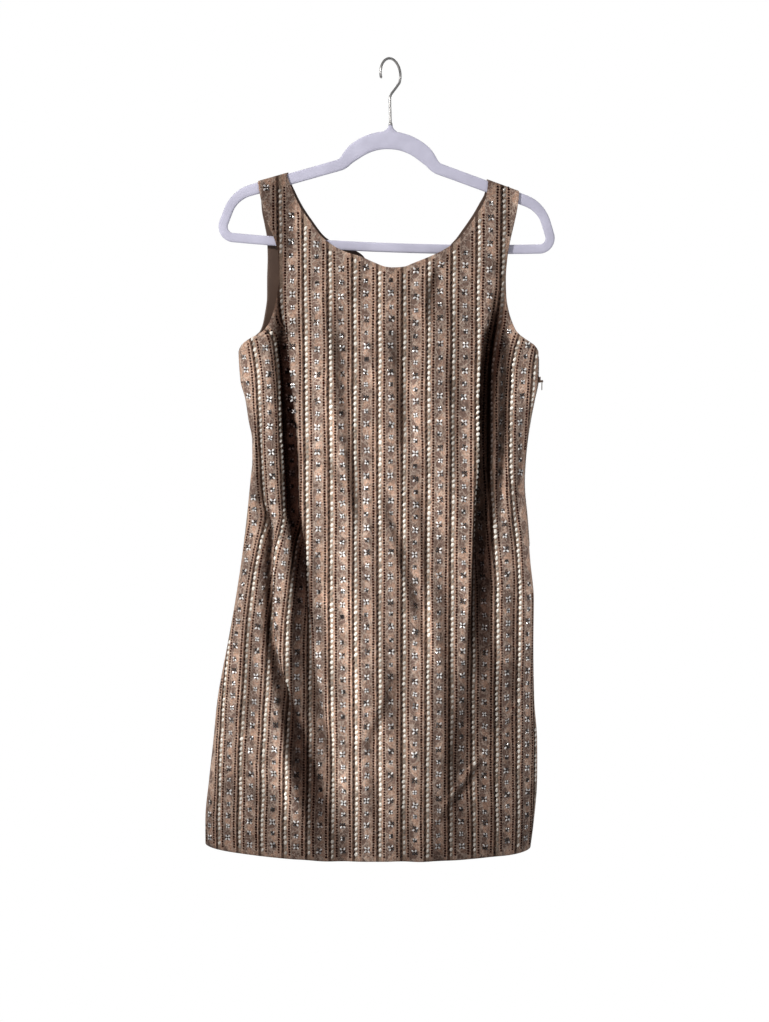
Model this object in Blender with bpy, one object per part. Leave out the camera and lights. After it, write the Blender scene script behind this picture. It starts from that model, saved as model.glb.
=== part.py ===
"""Beaded shift cocktail dress hanging on a slim flocked hanger.

+X is the wearer's left, -Y the front and +Z up. The origin is the inside top of the
hanger's hook, where a rail or peg carries it. Sizes are in millimetres, and "drop" is
how far a place is below the origin. Points become metres when a mesh is made.
"""

import math

import bmesh
import bpy
import numpy as np

MM = 0.001


class Table:
    """Rows of numbers under named columns, read smoothly at a place in the first column."""

    def __init__(self, columns, *rows):
        self.columns = columns
        self.rows = np.array(rows, float)

    def at(self, where, column):
        """The column's value there, on a curve that never overshoots its rows."""
        places = self.rows[:, 0]
        values = self.rows[:, self.columns.index(column)]
        where = min(max(where, places[0]), places[-1])
        steps = np.diff(places)
        rises = np.diff(values) / steps
        slopes = np.concatenate([rises[:1], np.zeros(len(rises) - 1), rises[-1:]])
        for i in range(1, len(rises)):
            if rises[i - 1] * rises[i] > 0:
                slopes[i] = 2 / (1 / rises[i - 1] + 1 / rises[i])
        i = min(int(np.searchsorted(places, where, "right")) - 1, len(steps) - 1)
        t = (where - places[i]) / steps[i]
        start = values[i] * (1 + 2 * t) * (1 - t) ** 2
        end = values[i + 1] * t * t * (3 - 2 * t)
        lean = slopes[i] * t * (1 - t) ** 2 - slopes[i + 1] * t * t * (1 - t)
        return float(start + end + lean * steps[i])


# ---------------------------------------------------------------- driving sizes

CLOTH = 2.0  # wall of net, beads and backing together
SEAM_GAP = 0.3  # between two pieces at a seam
HEM_DROP = 1075.8
UNDERARM_DROP = 376.0

HANGER_TILT = 2.1  # degrees, the wearer's left side hangs lower
HANGER_THICK = 5.0
HANGER_ASIDE = 2.4  # the hanger's middle lies this far from under its hook
NECK_TOP_DROP = 82.5  # top of the hanger's neck
ARCH_DROP = 18.9  # centre line of the arch's top below the top of the neck
ARCH_RADIUS = 72.5
ARCH_TURN = 52.0  # degrees
BEND_RADIUS = 20.0  # from the arch into the arm
ARM_SLOPE = 17.5  # degrees below level
ARM_LENGTH = 121.0
ARM_HEIGHT = 14.5
ARM_CLEAR = 0.4  # cloth over the arm

# The side seams, which the front and the back share. Above the underarm, the places
# where the section's curve would reach the seams' plane if no armhole were cut.
SEAM = Table(
    ("drop", "left", "right"),
    (150, -182.0, 177.0),
    (266, -184.0, 180.0),
    (320, -192.0, 187.0),
    (350, -199.5, 193.5),
    (376, -206.0, 199.5),
    (415, -204.3, 199.8),
    (442, -197.8, 195.1),
    (470, -194.0, 190.1),
    (497, -189.5, 186.5),
    (524, -189.7, 184.2),
    (552, -192.7, 183.2),
    (607, -199.0, 188.3),
    (663, -206.8, 193.3),
    (719, -216.1, 199.2),
    (776, -227.0, 199.6),
    (862, -243.8, 202.3),
    (920, -250.6, 207.3),
    (979, -257.8, 208.3),
    (1039, -264.3, 204.5),
    (1076, -265.0, 200.5),
)

HEM_LIFT = Table(  # how far the hem rises, across
    ("across", "lift"),
    (-265, 4.2),
    (-220, 4.2),
    (-180, 3.2),
    (-130, 1.3),
    (-95, 0.2),
    (60, 0.0),
    (100, 1.0),
    (135, 1.5),
    (165, 0.3),
    (200, -0.9),
)
HEM_LIFT_FROM = 930.0  # the cloth above this drop hangs plumb

# The armhole edges, from the shoulder down to the underarm.
ARMHOLE = {
    "front": Table(
        ("drop", "left", "right"),
        (140, -178.0, 172.0),
        (170, -173.5, 169.2),
        (190, -169.0, 167.0),
        (210, -163.0, 163.0),
        (230, -154.5, 158.5),
        (250, -149.5, 155.0),
        (280, -148.5, 152.8),
        (305, -152.5, 153.6),
        (325, -157.5, 157.3),
        (341, -163.5, 163.0),
        (351, -172.5, 168.3),
        (360, -190.0, 179.7),
        (368, -201.0, 192.5),
        (376, -206.0, 199.5),
    ),
    "back": Table(
        ("drop", "left", "right"),
        (140, -175.0, 170.0),
        (170, -173.0, 167.0),
        (190, -172.0, 164.0),
        (210, -168.5, 160.0),
        (230, -165.5, 156.0),
        (250, -165.3, 152.0),
        (280, -166.5, 149.5),
        (305, -167.0, 150.0),
        (325, -170.0, 153.0),
        (341, -173.5, 159.0),
        (351, -178.0, 167.5),
        (360, -190.0, 178.0),
        (368, -200.5, 191.5),
        (376, -206.0, 199.5),
    ),
}

# The necklines, from the lowest point up to each shoulder, as places across and drops.
NECKLINE = {
    ("front", "left"): ((0, 266.6), (-8, 265.6), (-18, 262), (-40, 252.5), (-62, 245.5),
                        (-79, 236.5), (-92, 226), (-108, 205), (-122, 184.5), (-131.5, 163),
                        (-137, 148)),
    ("front", "right"): ((0, 266.6), (11, 266.3), (19, 265.2), (27, 262), (51, 252.5),
                         (68, 244.5), (86.5, 232), (100.5, 215.5), (114.5, 195),
                         (121.5, 184), (126, 173), (128, 157)),
    ("back", "left"): ((0, 280), (-12, 277), (-28, 264), (-38, 249), (-53, 240.5),
                       (-68, 236), (-87, 226), (-105, 204), (-119, 183), (-129, 163),
                       (-136, 148)),
    ("back", "right"): ((0, 280), (12, 278.5), (26, 272), (46, 260), (66, 246),
                        (84, 231), (97, 214), (110, 195), (118, 181), (124, 170),
                        (127, 157)),
}

# How far the cloth stands out from the seams' plane, at its edge and at its middle, and
# how its side turns: 0.5 rounds it like an ellipse, 1 runs it straight to the edge.
STAND = {
    "front": Table(
        ("drop", "edge", "middle", "turn"),
        (150, 5.4, 5.6, 1.0),
        (200, 6.4, 9.5, 1.0),
        (266, 6.0, 18.0, 0.9),
        (320, 3.5, 25.0, 0.76),
        (376, 0.15, 31.0, 0.62),
        (430, 0.15, 34.6, 0.54),
        (500, 0.15, 36.5, 0.5),
        (570, 0.15, 37.5, 0.5),
        (663, 0.15, 41.0, 0.5),
        (790, 0.15, 48.0, 0.5),
        (930, 0.15, 54.0, 0.5),
        (1076, 0.15, 59.0, 0.5),
    ),
    "back": Table(
        ("drop", "edge", "middle", "turn"),
        (150, 5.4, 5.6, 1.0),
        (200, 6.2, 8.6, 1.0),
        (266, 5.5, 15.0, 0.9),
        (320, 3.2, 20.0, 0.76),
        (376, 0.15, 24.5, 0.62),
        (430, 0.15, 27.2, 0.54),
        (500, 0.15, 28.5, 0.5),
        (570, 0.15, 29.0, 0.5),
        (663, 0.15, 31.0, 0.5),
        (790, 0.15, 35.5, 0.5),
        (930, 0.15, 39.0, 0.5),
        (1076, 0.15, 42.0, 0.5),
    ),
}
FLATNESS = 2.6  # power of the section's curve, over 2 for a flat middle

# The largest folds: where each floor runs, how deep it is, how wide its flanks are
# towards the middle and towards the side, and how far its floor tucks under the middle.
FOLD_COLUMNS = ("drop", "across", "depth", "inner", "outer", "tuck")
FOLDS = {
    "front": (
        Table(FOLD_COLUMNS,  # deep fold from the wearer's right armhole
              (296, -150.0, 0.0, 12, 14, 0),
              (335, -148.5, 5.0, 10, 17, 2),
              (366, -146.5, 25.0, 9, 19, 8),
              (415, -142.0, 32.0, 9, 22, 8),
              (461, -138.5, 33.0, 9, 25, 8),
              (521, -134.0, 33.0, 9, 29, 8),
              (584, -132.5, 31.0, 9, 28, 8),
              (615, -129.5, 26.0, 10, 25, 7),
              (646, -125.5, 20.0, 12, 22, 5),
              (712, -123.5, 13.0, 14, 24, 3),
              (790, -114.0, 9.0, 22, 26, 0),
              (870, -102.0, 8.0, 28, 28, 0),
              (950, -94.0, 7.0, 30, 30, 0),
              (1060, -90.0, 0.0, 32, 32, 0)),
        Table(FOLD_COLUMNS,  # hip fold on the same side
              (545, -178.0, 0.0, 8, 10, 0),
              (575, -177.0, 7.0, 8, 10, 0),
              (603, -170.0, 12.0, 8, 11, 2),
              (625, -163.5, 16.0, 8, 13, 3),
              (656, -166.0, 18.0, 8, 13, 3),
              (710, -166.5, 18.0, 8, 14, 3),
              (767, -165.0, 17.0, 9, 15, 3),
              (808, -158.0, 16.0, 11, 17, 3),
              (850, -145.0, 14.0, 14, 19, 2),
              (912, -131.0, 11.0, 17, 22, 0),
              (968, -115.0, 8.0, 20, 26, 0),
              (1050, -104.0, 0.0, 22, 28, 0)),
        Table(FOLD_COLUMNS,  # deep fold from the wearer's left armhole
              (296, 143.0, 0.0, 12, 12, 0),
              (336, 138.0, 12.0, 10, 16, 4),
              (375, 130.0, 26.0, 10, 18, 6),
              (415, 127.5, 30.0, 10, 20, 7),
              (521, 126.0, 30.0, 9, 20, 7),
              (584, 122.5, 27.0, 10, 23, 6),
              (646, 122.0, 20.0, 12, 23, 4),
              (712, 120.5, 12.0, 15, 24, 2),
              (790, 120.0, 0.0, 20, 24, 0)),
        Table(FOLD_COLUMNS,  # narrow fold beside it
              (335, 154.0, 0.0, 6, 7, 0),
              (400, 152.5, 8.0, 7, 8, 0),
              (480, 151.0, 9.0, 7, 8, 0),
              (560, 148.5, 8.0, 7, 9, 0),
              (680, 148.0, 0.0, 8, 10, 0)),
        Table(FOLD_COLUMNS,  # wide hollow above the hem
              (690, 124.0, 0.0, 24, 26, 0),
              (778, 120.0, 6.5, 26, 27, 0),
              (850, 116.0, 9.5, 28, 28, 0),
              (934, 113.0, 8.5, 30, 30, 0),
              (1060, 108.0, 0.0, 32, 32, 0)),
    ),
    "back": (
        Table(FOLD_COLUMNS,
              (305, -146.0, 0.0, 14, 14, 0),
              (380, -138.0, 6.0, 15, 20, 0),
              (470, -133.0, 8.5, 17, 22, 2),
              (570, -129.0, 8.5, 17, 24, 2),
              (680, -125.0, 6.5, 19, 26, 0),
              (800, -121.0, 0.0, 20, 26, 0)),
        Table(FOLD_COLUMNS,
              (305, 137.0, 0.0, 14, 12, 0),
              (390, 131.0, 6.0, 15, 19, 0),
              (480, 127.0, 8.5, 16, 21, 2),
              (590, 125.0, 7.5, 17, 23, 2),
              (700, 123.0, 4.5, 18, 25, 0),
              (810, 121.0, 0.0, 20, 26, 0)),
        Table(FOLD_COLUMNS,
              (590, -176.0, 0.0, 11, 12, 0),
              (690, -172.0, 9.0, 12, 14, 2),
              (800, -167.0, 11.0, 14, 17, 0),
              (920, -158.0, 7.0, 16, 20, 0),
              (1050, -152.0, 0.0, 18, 24, 0)),
        Table(FOLD_COLUMNS,
              (640, 84.0, 0.0, 24, 26, 0),
              (760, 88.0, 7.0, 27, 28, 0),
              (900, 94.0, 8.0, 30, 32, 0),
              (1050, 98.0, 0.0, 34, 36, 0)),
    ),
}
FOLD_FLOOR = 2.6  # least distance of a fold's floor from the seams' plane

# Columns of points across one half of a panel: fixed places from the middle out over the
# folds, and then shares of the way on to the edge.
FIXED_COLUMNS = (0, 33, 62, 87, 104, 113, 119, 124, 128.5, 133, 137.5, 142.5, 149, 156, 163)
FULL_WIDTH = 170.0  # a half this wide or wider keeps the fixed places
EDGE_SHARES = (0.36, 0.66, 0.87, 1.0)
ROW_STEP = 45.0  # most drop between two rows
ROW_SWING = 9.5  # most that an edge moves sideways between two rows
STRAP_ROWS = 10
STRAP_SPREAD = 1.25  # over 1 puts more of the rows near the neckline's lowest point
SHOULDER_ROWS = 3


# ---------------------------------------------------------------- meshes


def new_object(name, mesh, colour, roughness, metallic=0.0):
    material = bpy.data.materials.new(name)
    material.use_nodes = True
    shader = material.node_tree.nodes["Principled BSDF"]
    shader.inputs["Base Color"].default_value = (*colour, 1)
    shader.inputs["Roughness"].default_value = roughness
    shader.inputs["Metallic"].default_value = metallic
    mesh.materials.append(material)
    made = bpy.data.objects.new(name, mesh)
    bpy.context.collection.objects.link(made)
    return made


def mesh_of(name, points, faces):
    """A mesh from points in millimetres, with every face turned outwards."""
    mesh = bpy.data.meshes.new(name)
    mesh.from_pydata([[c * MM for c in p] for p in points], [], faces)
    shape = bmesh.new()
    shape.from_mesh(mesh)
    bmesh.ops.recalc_face_normals(shape, faces=shape.faces)
    shape.to_mesh(mesh)
    shape.free()
    mesh.shade_smooth()
    mesh.set_sharp_from_angle(angle=math.radians(40))
    return mesh


def box_mesh(name, low, high):
    corners = [
        (x, y, z) for x in (low[0], high[0]) for y in (low[1], high[1]) for z in (low[2], high[2])
    ]
    faces = [(0, 1, 3, 2), (4, 6, 7, 5), (0, 4, 5, 1), (2, 3, 7, 6), (0, 2, 6, 4), (1, 5, 7, 3)]
    return mesh_of(name, corners, faces)


def prism_mesh(name, outline, low, high):
    """A solid whose side outline is given in X and Z, from low to high along Y."""
    count = len(outline)
    points = [(x, low, z) for x, z in outline] + [(x, high, z) for x, z in outline]
    sides = [(i, (i + 1) % count, count + (i + 1) % count, count + i) for i in range(count)]
    return mesh_of(name, points, [tuple(range(count)), tuple(range(count, 2 * count)), *sides])


def circle(radius, sides, middle=(0, 0)):
    turns = [2 * math.pi * i / sides for i in range(sides)]
    return [(middle[0] + radius * math.cos(a), middle[1] + radius * math.sin(a)) for a in turns]


def join(target, mesh, operation="UNION"):
    """Adds a mesh to an object, or cuts it out, with a Boolean and a hidden partner."""
    partner = bpy.data.objects.new(f"{target.name}_{len(target.modifiers)}", mesh)
    bpy.context.collection.objects.link(partner)
    partner.matrix_world = target.matrix_world
    partner.hide_render = True
    partner.display_type = "WIRE"
    boolean = target.modifiers.new(operation.title(), "BOOLEAN")
    boolean.operation = operation
    boolean.object = partner


# ---------------------------------------------------------------- the hanger's arm line


def tilted(across, drop):
    """A point of the hanger's own plane, after the hanger tilts about the origin."""
    turn = math.radians(HANGER_TILT)
    return (
        HANGER_ASIDE + across * math.cos(turn) - drop * math.sin(turn),
        across * math.sin(turn) + drop * math.cos(turn),
    )


def arm_top(across):
    """The drop of the arm's top edge at a place across, with the hanger tilted."""
    side = -1 if across < 0 else 1
    steep, slope = math.radians(ARCH_TURN), math.radians(ARM_SLOPE)
    out = ARCH_RADIUS * math.sin(steep) + BEND_RADIUS * (math.sin(steep) - math.sin(slope))
    fall = ARCH_RADIUS * (1 - math.cos(steep))
    fall += BEND_RADIUS * (math.cos(slope) - math.cos(steep))
    lift = ARM_HEIGHT / 2 / math.cos(slope)
    start = (side * out, NECK_TOP_DROP + ARCH_DROP + fall - lift)
    end = (start[0] + side * ARM_LENGTH, start[1] + ARM_LENGTH * math.tan(slope))
    (x0, d0), (x1, d1) = tilted(*start), tilted(*end)
    return d0 + (across - x0) * (d1 - d0) / (x1 - x0)


# ---------------------------------------------------------------- cloth


def edge(panel, side, drop):
    """Where a panel's edge is across: the armhole, and below it the seam."""
    table = ARMHOLE[panel] if drop < UNDERARM_DROP else SEAM
    return table.at(drop, side)


def fold_shift(panel, across, drop):
    """How far the folds push the cloth inwards, and how far across."""
    inwards, sideways = 0.0, 0.0
    for fold in FOLDS[panel]:
        if not fold.rows[0, 0] < drop < fold.rows[-1, 0]:
            continue
        floor = fold.at(drop, "across")
        towards_middle = abs(across) < abs(floor)
        width = fold.at(drop, "inner" if towards_middle else "outer")
        share = abs(across - floor) / width
        if share < 1:
            bump = (1 - share * share) ** 2
            inwards += fold.at(drop, "depth") * bump
            sideways -= math.copysign(fold.at(drop, "tuck") * bump, floor)
    return inwards, sideways


def cloth_point(panel, across, drop):
    """The point of the cloth's outer face over a place on the flat pattern."""
    stand = STAND[panel]
    side = "left" if across < 0 else "right"
    share = min(1.0, abs(across / SEAM.at(drop, side)))
    rim, middle = stand.at(drop, "edge"), stand.at(drop, "middle")
    out = rim + (middle - rim) * (1 - share**FLATNESS) ** stand.at(drop, "turn")
    inwards, sideways = fold_shift(panel, across, drop)
    inwards = max(0.0, min(inwards, out - FOLD_FLOOR))
    front = -1 if panel == "front" else 1
    hem = max(0.0, (drop - HEM_LIFT_FROM) / (HEM_DROP - HEM_LIFT_FROM))
    lift = HEM_LIFT.at(across, "lift") * hem
    return (across + sideways, front * (out - inwards), lift - drop)


def half_row(panel, side, drop):
    """Places across from the edge to the middle."""
    sign = -1 if side == "left" else 1
    limit = abs(edge(panel, side, drop))
    squeeze = min(1.0, limit / FULL_WIDTH)
    places = [place * squeeze for place in FIXED_COLUMNS]
    last = places[-1]
    places += [last + share * (limit - last) for share in EDGE_SHARES]
    return [sign * place for place in reversed(places)]


def row_drops(panel, top):
    """Drops of the rows from the neckline's lowest point to the hem."""
    drops = [top]
    while drops[-1] < HEM_DROP:
        step = min(ROW_STEP, HEM_DROP - drops[-1])
        if drops[-1] < UNDERARM_DROP:
            step = min(step, UNDERARM_DROP - drops[-1])
        while step > 4 and any(
            abs(edge(panel, s, drops[-1] + step) - edge(panel, s, drops[-1])) > ROW_SWING
            for s in ("left", "right")
        ):
            step *= 0.85
        drops.append(drops[-1] + step)
    return drops


def along(curve, share):
    """The point at a share of a curve's length, on a smooth line through its points."""
    points = np.array(curve, float)
    lengths = np.concatenate([[0], np.cumsum(np.hypot(*np.diff(points, axis=0).T))])
    table = Table(("length", "across", "drop"), *np.column_stack([lengths, points]))
    where = share * lengths[-1]
    return table.at(where, "across"), table.at(where, "drop")


def strap_rows(panel, side, first):
    """Rows of points from above the neckline's lowest point to over the hanger's arm."""
    front = -1 if panel == "front" else 1
    neckline = NECKLINE[panel, side]
    low = neckline[0][1]
    outer_radius = HANGER_THICK / 2 + ARM_CLEAR + CLOTH
    across_edge = edge(panel, side, arm_top(edge(panel, side, 160)))
    arm_drop = arm_top(across_edge) - ARM_CLEAR - CLOTH + outer_radius
    spread = [(p - first[0]) / (first[-1] - first[0]) for p in first]
    rows = []
    for i in range(1, STRAP_ROWS + 1):
        share = (i / STRAP_ROWS) ** STRAP_SPREAD
        neck_across, neck_drop = along(neckline, share)
        if i == STRAP_ROWS:
            neck_drop = arm_top(neck_across) - ARM_CLEAR - CLOTH + outer_radius
        edge_drop = low + (arm_drop - low) * share
        edge_across = edge(panel, side, edge_drop)
        row = []
        for j, place in enumerate(spread):
            even = j / (len(spread) - 1)
            t = place + (even - place) * math.sqrt(share)
            across = edge_across + (neck_across - edge_across) * t
            drop = edge_drop + (neck_drop - edge_drop) * t
            row.append(cloth_point(panel, across, drop))
        rows.append(row)
    top = rows[-1]
    for i in range(1, SHOULDER_ROWS + 1):
        turn = math.pi / 2 * i / SHOULDER_ROWS
        rise = outer_radius * math.sin(turn)
        rest = math.cos(turn)
        rows.append([
            (x, front * (SEAM_GAP / 2 + (abs(y) - SEAM_GAP / 2) * rest), z + rise)
            for x, y, z in top
        ])
    return rows


def cloth_wall(panel, points, faces):
    """The outer points, the same points moved in by the cloth's thickness, and the rim."""
    points = np.array(points)
    front = -1 if panel == "front" else 1
    normals = np.zeros_like(points)
    for face in faces:
        a, b, c, d = (points[i] for i in face)
        normals[list(face)] += np.cross(c - a, d - b)
    normals /= np.linalg.norm(normals, axis=1)[:, None]
    inner = points - normals * CLOTH
    if panel == "front":
        inner[:, 1] = np.minimum(inner[:, 1], -SEAM_GAP / 2)
    else:
        inner[:, 1] = np.maximum(inner[:, 1], SEAM_GAP / 2)
    count = len(points)
    uses = {}
    for face in faces:
        for i in range(4):
            pair = (face[i], face[(i + 1) % 4])
            uses[frozenset(pair)] = None if frozenset(pair) in uses else pair
    rim = [(a, b, b + count, a + count) for a, b in (p for p in uses.values() if p)]
    back = [tuple(i + count for i in reversed(face)) for face in faces]
    return np.concatenate([points, inner]), faces + back + rim


def make_panel(name, panel, colour):
    """A front or back: rows across the body, and a strap to each shoulder."""
    points, grid = [], []

    def add(row):
        start = len(points)
        points.extend(row)
        return list(range(start, len(points)))

    neck_drop = NECKLINE[panel, "left"][0][1]
    for drop in reversed(row_drops(panel, neck_drop)):
        left, right = half_row(panel, "left", drop), half_row(panel, "right", drop)
        if drop == neck_drop:
            halves = {"left": left, "right": right}
        across = left + right[::-1][1:]
        grid.append(add([cloth_point(panel, place, drop) for place in across]))
    half = len(halves["left"])
    patches = [grid]
    top = grid[-1]
    seams = {"left": top[:half], "right": top[half - 1:][::-1]}
    for side, first in halves.items():
        patch = [seams[side]]
        for row in strap_rows(panel, side, first):
            patch.append(add(row))
        patches.append(patch)
    faces = []
    for patch in patches:
        flip = (patch[0] is seams["right"]) != (panel == "back")
        for low, high in zip(patch, patch[1:]):
            for j in range(len(low) - 1):
                face = (low[j], low[j + 1], high[j + 1], high[j])
                faces.append(face[::-1] if flip else face)
    return new_object(name, mesh_of(name, *cloth_wall(panel, points, faces)), colour, 0.6)


# ---------------------------------------------------------------- hanger

SHOULDER_RADIUS = 45.0
SHOULDER_TURN = 52.5
END_LENGTH = 16.8
CORNER_RADIUS = 14.0
BAR_BOW = 5.5
MOULDING_ROUND = 1.6  # corners of the moulding's section

HANGER_HEIGHTS = Table(
    ("run", "height"),
    (0, 23.0),
    (48, 21.5),
    (70, 15.5),
    (84, ARM_HEIGHT),
    (190, ARM_HEIGHT),
    (235, 12.2),
    (290, 12.2),
    (560, 12.2),
)

NECK_SECTIONS = Table(  # half widths of the neck, from inside the arch up to its top
    ("drop", "wide", "deep"),
    (0, 2.8, 2.6),
    (2.4, 3.3, 2.6),
    (5.0, 5.2, 2.45),
    (7.2, 8.2, 2.3),
    (12.0, 10.0, 2.2),
)
NECK_SIDES = 12

HOOK_WIRE = 1.7  # radius
HOOK_RADIUS = 19.5  # centre line of the curl
HOOK_TWIST = 48.0  # degrees that the curl is turned out of the hanger's plane
HOOK_BEND_DROP = 46.0
HOOK_FOOT_TURN = -24.0  # the curl begins this far below level, in degrees
HOOK_TIP_TURN = 206.0
HOOK_STEPS = 26


def hanger_line():
    """Centre line of one half of the hanger, from the arch's top round to the bar."""
    place = np.array([0.0, NECK_TOP_DROP + ARCH_DROP])
    heading, run = 0.0, 0.0
    stations = [(place, heading, run)]

    def turn(radius, degrees, steps):
        nonlocal place, heading, run
        step = math.radians(degrees) / steps
        for _ in range(steps):
            chord = 2 * radius * math.sin(abs(step) / 2)
            middle = heading + step / 2
            place = place + chord * np.array([math.cos(middle), math.sin(middle)])
            heading += step
            run += radius * abs(step)
            stations.append((place, heading, run))

    def straight(length, steps):
        nonlocal place, run
        for _ in range(steps):
            ahead = np.array([math.cos(heading), math.sin(heading)])
            place = place + length / steps * ahead
            run += length / steps
            stations.append((place, heading, run))

    turn(ARCH_RADIUS, ARCH_TURN, 7)
    turn(BEND_RADIUS, ARM_SLOPE - ARCH_TURN, 3)
    straight(ARM_LENGTH, 2)
    turn(SHOULDER_RADIUS, SHOULDER_TURN, 5)
    straight(END_LENGTH, 1)
    turn(CORNER_RADIUS, 180 - ARM_SLOPE - SHOULDER_TURN, 6)
    bar_end = place
    for share in (0.3, 0.65, 1.0):
        bow = BAR_BOW * (1 - (1 - share) ** 2)
        place = np.array([bar_end[0] * (1 - share), bar_end[1] + bow])
        stations.append((place, math.pi, run + bar_end[0] * share))
    return stations


def hanger_frame():
    """Arms, arch and bar as one closed ring, and the neck joined to its top."""
    half = hanger_line()
    ring = [(*place, heading, run) for place, heading, run in half]
    ring += [(-x, d, -heading, run) for x, d, heading, run in reversed(ring[1:-1])]
    thick = HANGER_THICK / 2
    points = []
    for x, d, heading, run in ring:
        high = HANGER_HEIGHTS.at(run, "height") / 2
        section = [
            (high, thick - MOULDING_ROUND), (high - MOULDING_ROUND, thick),
            (MOULDING_ROUND - high, thick), (-high, thick - MOULDING_ROUND),
            (-high, MOULDING_ROUND - thick), (MOULDING_ROUND - high, -thick),
            (high - MOULDING_ROUND, -thick), (high, MOULDING_ROUND - thick),
        ]
        for offset, y in section:
            across, down = offset * math.sin(heading), offset * math.cos(heading)
            points.append((x + across, y, down - d))
    count, sides = len(ring), 8
    faces = [
        (i * sides + j, (i + 1) % count * sides + j,
         (i + 1) % count * sides + (j + 1) % sides, i * sides + (j + 1) % sides)
        for i in range(count) for j in range(sides)
    ]
    frame = new_object(
        "hanger_frame", mesh_of("hanger_frame", points, faces), (0.50, 0.48, 0.60), 0.85
    )
    frame.rotation_euler.y = math.radians(HANGER_TILT)
    frame.location.x = HANGER_ASIDE * MM
    bpy.context.view_layer.update()
    rings = []
    for row in NECK_SECTIONS.rows:
        drop, wide, deep = row
        rings.append([
            (wide * x, deep * y, -(NECK_TOP_DROP + drop)) for x, y in circle(1, NECK_SIDES)
        ])
    neck_points = [p for ring_points in rings for p in ring_points]
    neck_faces = [
        (k * NECK_SIDES + j, k * NECK_SIDES + (j + 1) % NECK_SIDES,
         (k + 1) * NECK_SIDES + (j + 1) % NECK_SIDES, (k + 1) * NECK_SIDES + j)
        for k in range(len(rings) - 1) for j in range(NECK_SIDES)
    ]
    last = (len(rings) - 1) * NECK_SIDES
    neck_faces += [tuple(range(NECK_SIDES)), tuple(range(last, last + NECK_SIDES))]
    join(frame, mesh_of("hanger_neck", neck_points, neck_faces))


def hanger_hook():
    """Round wire: up from the neck, out to one side and over in a curl."""
    centre_drop = HOOK_RADIUS - HOOK_WIRE
    foot = math.radians(HOOK_FOOT_TURN)
    start = (HOOK_RADIUS * math.cos(foot), centre_drop - HOOK_RADIUS * math.sin(foot))
    stem_top = HOOK_BEND_DROP + 4.0
    path = [(0, NECK_TOP_DROP - SEAM_GAP), (0, stem_top + 12), (0, stem_top)]
    path.append((0.6, HOOK_BEND_DROP + 0.5))
    path += [
        (start[0] * t + 0.6 * (1 - t), HOOK_BEND_DROP - 1 + (start[1] - HOOK_BEND_DROP + 1) * t)
        for t in (0.1, 0.5, 0.88)
    ]
    for i in range(HOOK_STEPS + 1):
        turn = math.radians(HOOK_FOOT_TURN + (HOOK_TIP_TURN - HOOK_FOOT_TURN) * i / HOOK_STEPS)
        path.append((HOOK_RADIUS * math.cos(turn), centre_drop - HOOK_RADIUS * math.sin(turn)))
    twist = math.radians(HOOK_TWIST)
    curve = bpy.data.curves.new("hanger_hook", "CURVE")
    curve.dimensions = "3D"
    curve.bevel_depth = HOOK_WIRE * MM
    curve.bevel_resolution = 2
    curve.use_fill_caps = True
    spline = curve.splines.new("POLY")
    spline.points.add(len(path) - 1)
    for point, (out, drop) in zip(spline.points, path):
        lean = max(0.0, (drop - HOOK_BEND_DROP) / (NECK_TOP_DROP - HOOK_BEND_DROP))
        across = out * math.cos(twist) + HANGER_ASIDE * lean
        point.co = (across * MM, out * math.sin(twist) * MM, -drop * MM, 1)
    hook = new_object("hanger_hook", curve, (0.42, 0.42, 0.43), 0.3, 1.0)
    hook.rotation_euler.y = math.radians(HANGER_TILT)


# ---------------------------------------------------------------- zip in the side seam

ZIP_DROP = 417.0  # of the pull's pin
SLIDER_DEEP = 2.2
SLIDER_WIDE = 4.6
SLIDER_ABOVE = 6.0
SLIDER_BELOW = 2.0
EAR_THICK = 1.0
PIN_OUT = 4.3  # the pin's axis from the slider's back
PIN_RADIUS = 0.55
EYE_RADIUS = 1.65
EYE_HOLE = 0.9
PULL_WIDE = 2.0
PULL_THICK = 1.0
PULL_LENGTH = 12.5


def zip_pieces():
    """The slider, seated on the seam, and the pull that hangs from its pin."""
    drops = [ZIP_DROP - SLIDER_ABOVE, ZIP_DROP, ZIP_DROP + SLIDER_BELOW]
    seat = max(SEAM.at(drop, "right") for drop in drops) + SEAM_GAP
    half = SLIDER_WIDE / 2
    body = box_mesh("zip_slider", (0, -half, -SLIDER_BELOW), (SLIDER_DEEP, half, SLIDER_ABOVE))
    slider = new_object("zip_slider", body, (0.10, 0.07, 0.05), 0.4, 0.6)
    slider.location = (seat * MM, 0, -ZIP_DROP * MM)
    bpy.context.view_layer.update()
    reach = PIN_OUT + 1.2
    for low in (-half, half - EAR_THICK):
        ear = box_mesh("ear", (SLIDER_DEEP / 2, low, -1.4), (reach, low + EAR_THICK, 1.4))
        join(slider, ear)
    pin = circle(PIN_RADIUS, 8, (PIN_OUT, 0))
    inset = 0.2
    join(slider, prism_mesh("pin", pin, inset - half, half - inset))

    eye = circle(EYE_RADIUS, 12)
    tongue = [
        (-PULL_THICK / 2, 0), (-PULL_THICK / 2, -PULL_LENGTH + 1), (0, -PULL_LENGTH),
        (PULL_THICK / 2, -PULL_LENGTH + 1), (PULL_THICK / 2, 0),
    ]
    wide = PULL_WIDE / 2
    pull = new_object("zip_pull", prism_mesh("zip_pull", tongue, -wide, wide),
                      (0.10, 0.07, 0.05), 0.4, 0.6)
    pull.location = ((seat + PIN_OUT) * MM, 0, -ZIP_DROP * MM)
    bpy.context.view_layer.update()
    join(pull, prism_mesh("eye", eye, -wide - 0.01, wide + 0.01))
    join(pull, prism_mesh("eye_hole", circle(EYE_HOLE, 12), -3, 3), "DIFFERENCE")


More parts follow.
